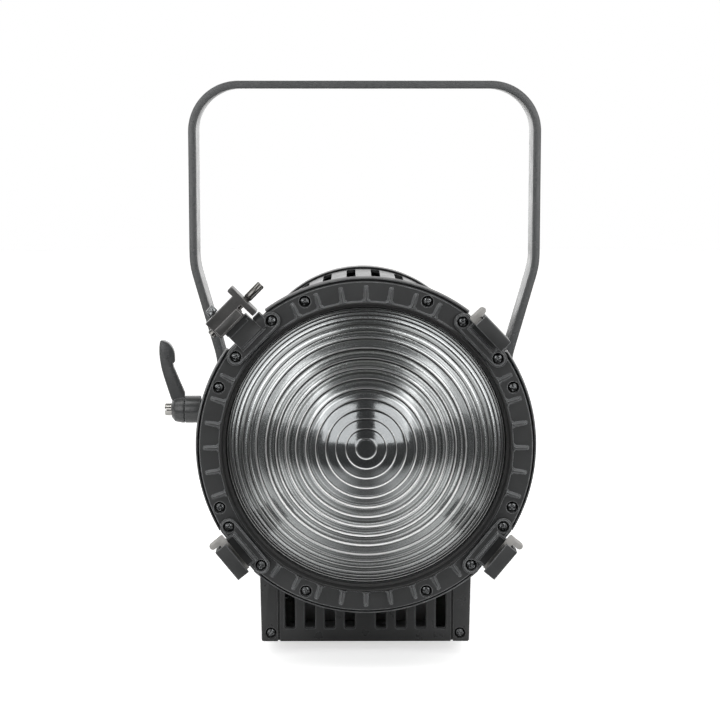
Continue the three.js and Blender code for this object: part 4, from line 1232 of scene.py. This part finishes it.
def small_screw(name, x, y, z, size):
    """A small cross-head screw that faces the rear, its head resting on y."""
    turn = Matrix.Rotation(math.pi, 4, "Z") @ Matrix.Rotation(dice.uniform(0, 1.5), 4, "Y")
    place = LIFT @ Matrix.Translation((x, y, z)) @ turn @ Matrix.Diagonal((size, size, size, 1))
    show(name, screw_head(), place, "screw_black")


def inlets():
    """The power inlet and the data socket: flanges with screws, collars and contacts."""
    for name, contacts in (("power_inlet", 3), ("data_inlet", 5)):
        low, high, place, half = facing(name)
        square = [(-half, -half), (half, -half), (half, half), (-half, half)]
        flange = bevelled(prism(rounded(square, 2.6, 5), PANEL_Y + 0.3, high.y), 0.4)
        collar_ring = [(8.9, 170), (10.9, 170), (10.9, high.y + 1.3), (8.9, high.y + 1.3)]
        collar = lathe(rounded(collar_ring, 0.5, 3), 64)
        barrel = rod(11.8, low.y, PANEL_Y + 0.6, segments=48)
        socket = rod(9 if contacts == 3 else 8.6, low.y + 4, high.y + 5, segments=48)
        body = cut(join(flange, barrel, collar), socket)
        if contacts == 3:
            core = rounded([(0, 160), (5.6, 160), (5.6, 173), (0, 173)], 0.5, 3, False)
            body = join(body, lathe(core, 40, closed=False))
        else:
            body = join(body, block((-1.2, 162, 7), (1.2, 174.5, 9.2)))
        stand_in(name, body, place)
        pins = []
        for k in range(contacts):
            if contacts == 3:
                turn = Matrix.Rotation(math.radians(120 * k), 4, "Y")
                pins.append(moved(bevelled(block((-2.4, 162, 6.3), (2.4, 174, 7.2)), 0.2, 1), turn))
            else:
                angle = math.radians(-54 + 72 * k * 0.8)
                px, pz = 4.7 * math.cos(angle), 4.7 * math.sin(angle)
                pin = [(0, 160), (0.85, 160), (0.85, 173.4), (0.5, 174), (0, 174)]
                pins.append(moved(lathe(pin, 16, closed=False), Matrix.Translation((px, 0, pz))))
        show(name + "_contacts", merged(*pins), place, "bright_steel")
        x, z = (low.x + high.x) / 2, (low.z + high.z) / 2
        for k, offset in enumerate((-10.3, 10.3)):
            small_screw(f"{name}_screw_{k + 1}", x + offset, high.y - 0.1, z + offset, 0.52)


def frame_ring(low, high, border, y0, y1):
    """A raised rectangular frame round an opening between two (x, z) corners."""
    outer = [(low[0] - border, low[1] - border), (high[0] + border, low[1] - border)]
    outer += [(high[0] + border, high[1] + border), (low[0] - border, high[1] + border)]
    opening = block((low[0], y0 - 1, low[1]), (high[0], y1 + 1, high[1]))
    return cut(bevelled(prism(rounded(outer, border, 4), y0, y1), 0.35), opening)


def panel_trim():
    """Frames round the display and the switch, menu keys and the panel's own screws."""
    low, high = about_axis("display_window")
    frame_low, frame_high = (low.x + 0.6, low.z + 0.6), (high.x - 0.6, high.z - 0.6)
    show("display_frame", frame_ring(frame_low, frame_high, 3, PANEL_Y, PANEL_Y + 1.7), slot="plastic_black")
    key = [(0, PANEL_Y), (2.9, PANEL_Y), (2.9, PANEL_Y + 1.2), (2.5, PANEL_Y + 1.7), (0, PANEL_Y + 1.9)]
    for k in range(4):
        place = LIFT @ Matrix.Translation((low.x + 5 + 10 * k, 0, low.z - 7.5))
        show(f"menu_key_{k + 1}", lathe(key, 32, closed=False), place, "rubber_black")
    low, high = about_axis("power_switch")
    frame_low, frame_high = (low.x - 0.5, low.z - 1.1), (high.x + 0.5, high.z + 1.1)
    show("switch_frame", frame_ring(frame_low, frame_high, 2, PANEL_Y, PANEL_Y + 1.4), slot="plastic_black")
    for k, (x, z) in enumerate([(-70, -151), (70, -151), (-70, -80), (70, -80)]):
        small_screw(f"panel_screw_{k + 1}", x, PANEL_Y, z, 0.7)


def carried_nodes():
    """CAD nodes whose shape is right: they keep it and get rounded edges and a finish."""
    shown = {o["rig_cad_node"] for o in frame["nodes"].values() if not o.hide_render}
    for name in sorted(shown):
        carry(name, 0.25 if name.startswith(("carriage", "fan", "led", "reflector", "guide")) else 0.4)


# ---------------------------------------------------------------- stage


def softbox(target, direction, distance, size, power):
    """A soft box that faces the target from an azimuth and elevation; 0 is the camera's side."""
    light = bpy.data.lights.new("softbox", "AREA")
    light.shape = "RECTANGLE"
    light.size, light.size_y = size
    light.energy = power
    obj = bpy.data.objects.new("softbox", light)
    bpy.context.scene.collection.objects.link(obj)
    turn, rise = [math.radians(angle) for angle in direction]
    way = Vector((math.sin(turn) * math.cos(rise), -math.cos(turn) * math.cos(rise), math.sin(rise)))
    obj.location = target + way * distance
    obj.rotation_mode = "QUATERNION"
    obj.rotation_quaternion = (-way).to_track_quat("-Z", "Y")
    obj.visible_camera = False


def studio():
    """A white floor, a white surround behind the lamp, and three pairs of soft boxes in front."""
    floor_z = cad_bounds[0].z
    floor = as_object(rod(4000, -0.01 / MM, 0, segments=96), "floor")
    floor.data.transform(Matrix.Diagonal((MM, MM, MM, 1)))
    floor.rotation_euler = (math.radians(90), 0, 0)
    floor.location = (0, 0, floor_z - 0.0104)
    material, tree = tree_of("pale_floor")
    seen = node(tree, "LightPath").outputs["Is Camera Ray"]
    place = node(tree, "SeparateXYZ", {"Vector": node(tree, "NewGeometry").outputs["Position"]})
    aside = node(tree, "Math", {0: place.outputs["X"]}, operation="ABSOLUTE").outputs[0]
    near = ranged(tree, place.outputs["Y"], 0.03, 0.9, -0.46, -0.34)
    near = times(tree, near, ranged(tree, aside, 0.25, 1, 0.02, 0.1))
    tone = blended(tree, seen, near, (0.93, 0.93, 0.93, 1))
    glow = blended(tree, seen, times(tree, near, 0.3), (0.62, 0.62, 0.62, 1))
    values = {"Base Color": tone, "Roughness": 0.9, "Specular IOR Level": 0.1}
    values |= {"Emission Color": (1, 1, 1, 1), "Emission Strength": glow}
    floor.data.materials.append(finish_of(tree, material, values))

    world = bpy.data.worlds.new("studio")
    bpy.context.scene.world = world
    world.use_nodes = True
    tree = world.node_tree
    tree.nodes.clear()
    where = node(tree, "TexCoord").outputs["Generated"]
    axes = node(tree, "SeparateXYZ", {"Vector": where})
    behind = ranged(tree, axes.outputs["Y"], 0, 1, 0.1, 0.7)
    upward = ranged(tree, axes.outputs["Z"], 0, 1, 0.6, 0.95)
    level = blended(tree, upward, (0.03, 0.03, 0.03, 1), (0.1, 0.1, 0.075, 1))
    level = blended(tree, behind, level, (1.55, 1.55, 1.55, 1))
    seen = node(tree, "LightPath").outputs["Is Camera Ray"]
    level = blended(tree, seen, level, (1, 1, 1, 1))
    background = node(tree, "Background", {"Color": level, "Strength": 1.0})
    node(tree, "OutputWorld", {"Surface": background.outputs[0]})

    lens = Vector((0, -0.16, AXIS_Z * MM))
    for side in (-1, 1):
        softbox(lens, (24 * side, 13), 1.7, (0.84, 1.05), 7)
        softbox(lens, (52 * side, 24), 1.7, (1.1, 1.2), 5.5)
        softbox(lens, (50 * side, 62), 1.8, (0.9, 0.9), 8)


def camera():
    """A long lens in front of the lamp, a little above its axis and tilted down to it."""
    data = bpy.data.cameras.new("camera")
    data.lens = 98.75
    data.sensor_width = 36
    data.clip_end = 50
    obj = bpy.data.objects.new("camera", data)
    bpy.context.scene.collection.objects.link(obj)
    obj.location = Vector((-11.4, -1555.8, 246.2 + AXIS_Z)) * MM
    down, right = math.radians(7.5), math.radians(0.29)
    obj.rotation_euler = (math.radians(90) - down, 0, -right)
    bpy.context.scene.camera = obj
    bpy.context.scene.view_settings.view_transform = "Standard"


# ---------------------------------------------------------------- assembly

fresnel_lens()
lens_gasket()
lens_bezel()
front_casting()
for bracket in ("upper_right", "lower_left", "lower_right"):
    accessory_bracket(bracket)
    leaf_spring(bracket)
gate_pieces()
place_screws()
drum_housing()
rear_cover()
yoke()
tilt_hardware()
lock_lever()
base_front_panel()
knobs()
inlets()
panel_trim()
carried_nodes()
studio()
camera()
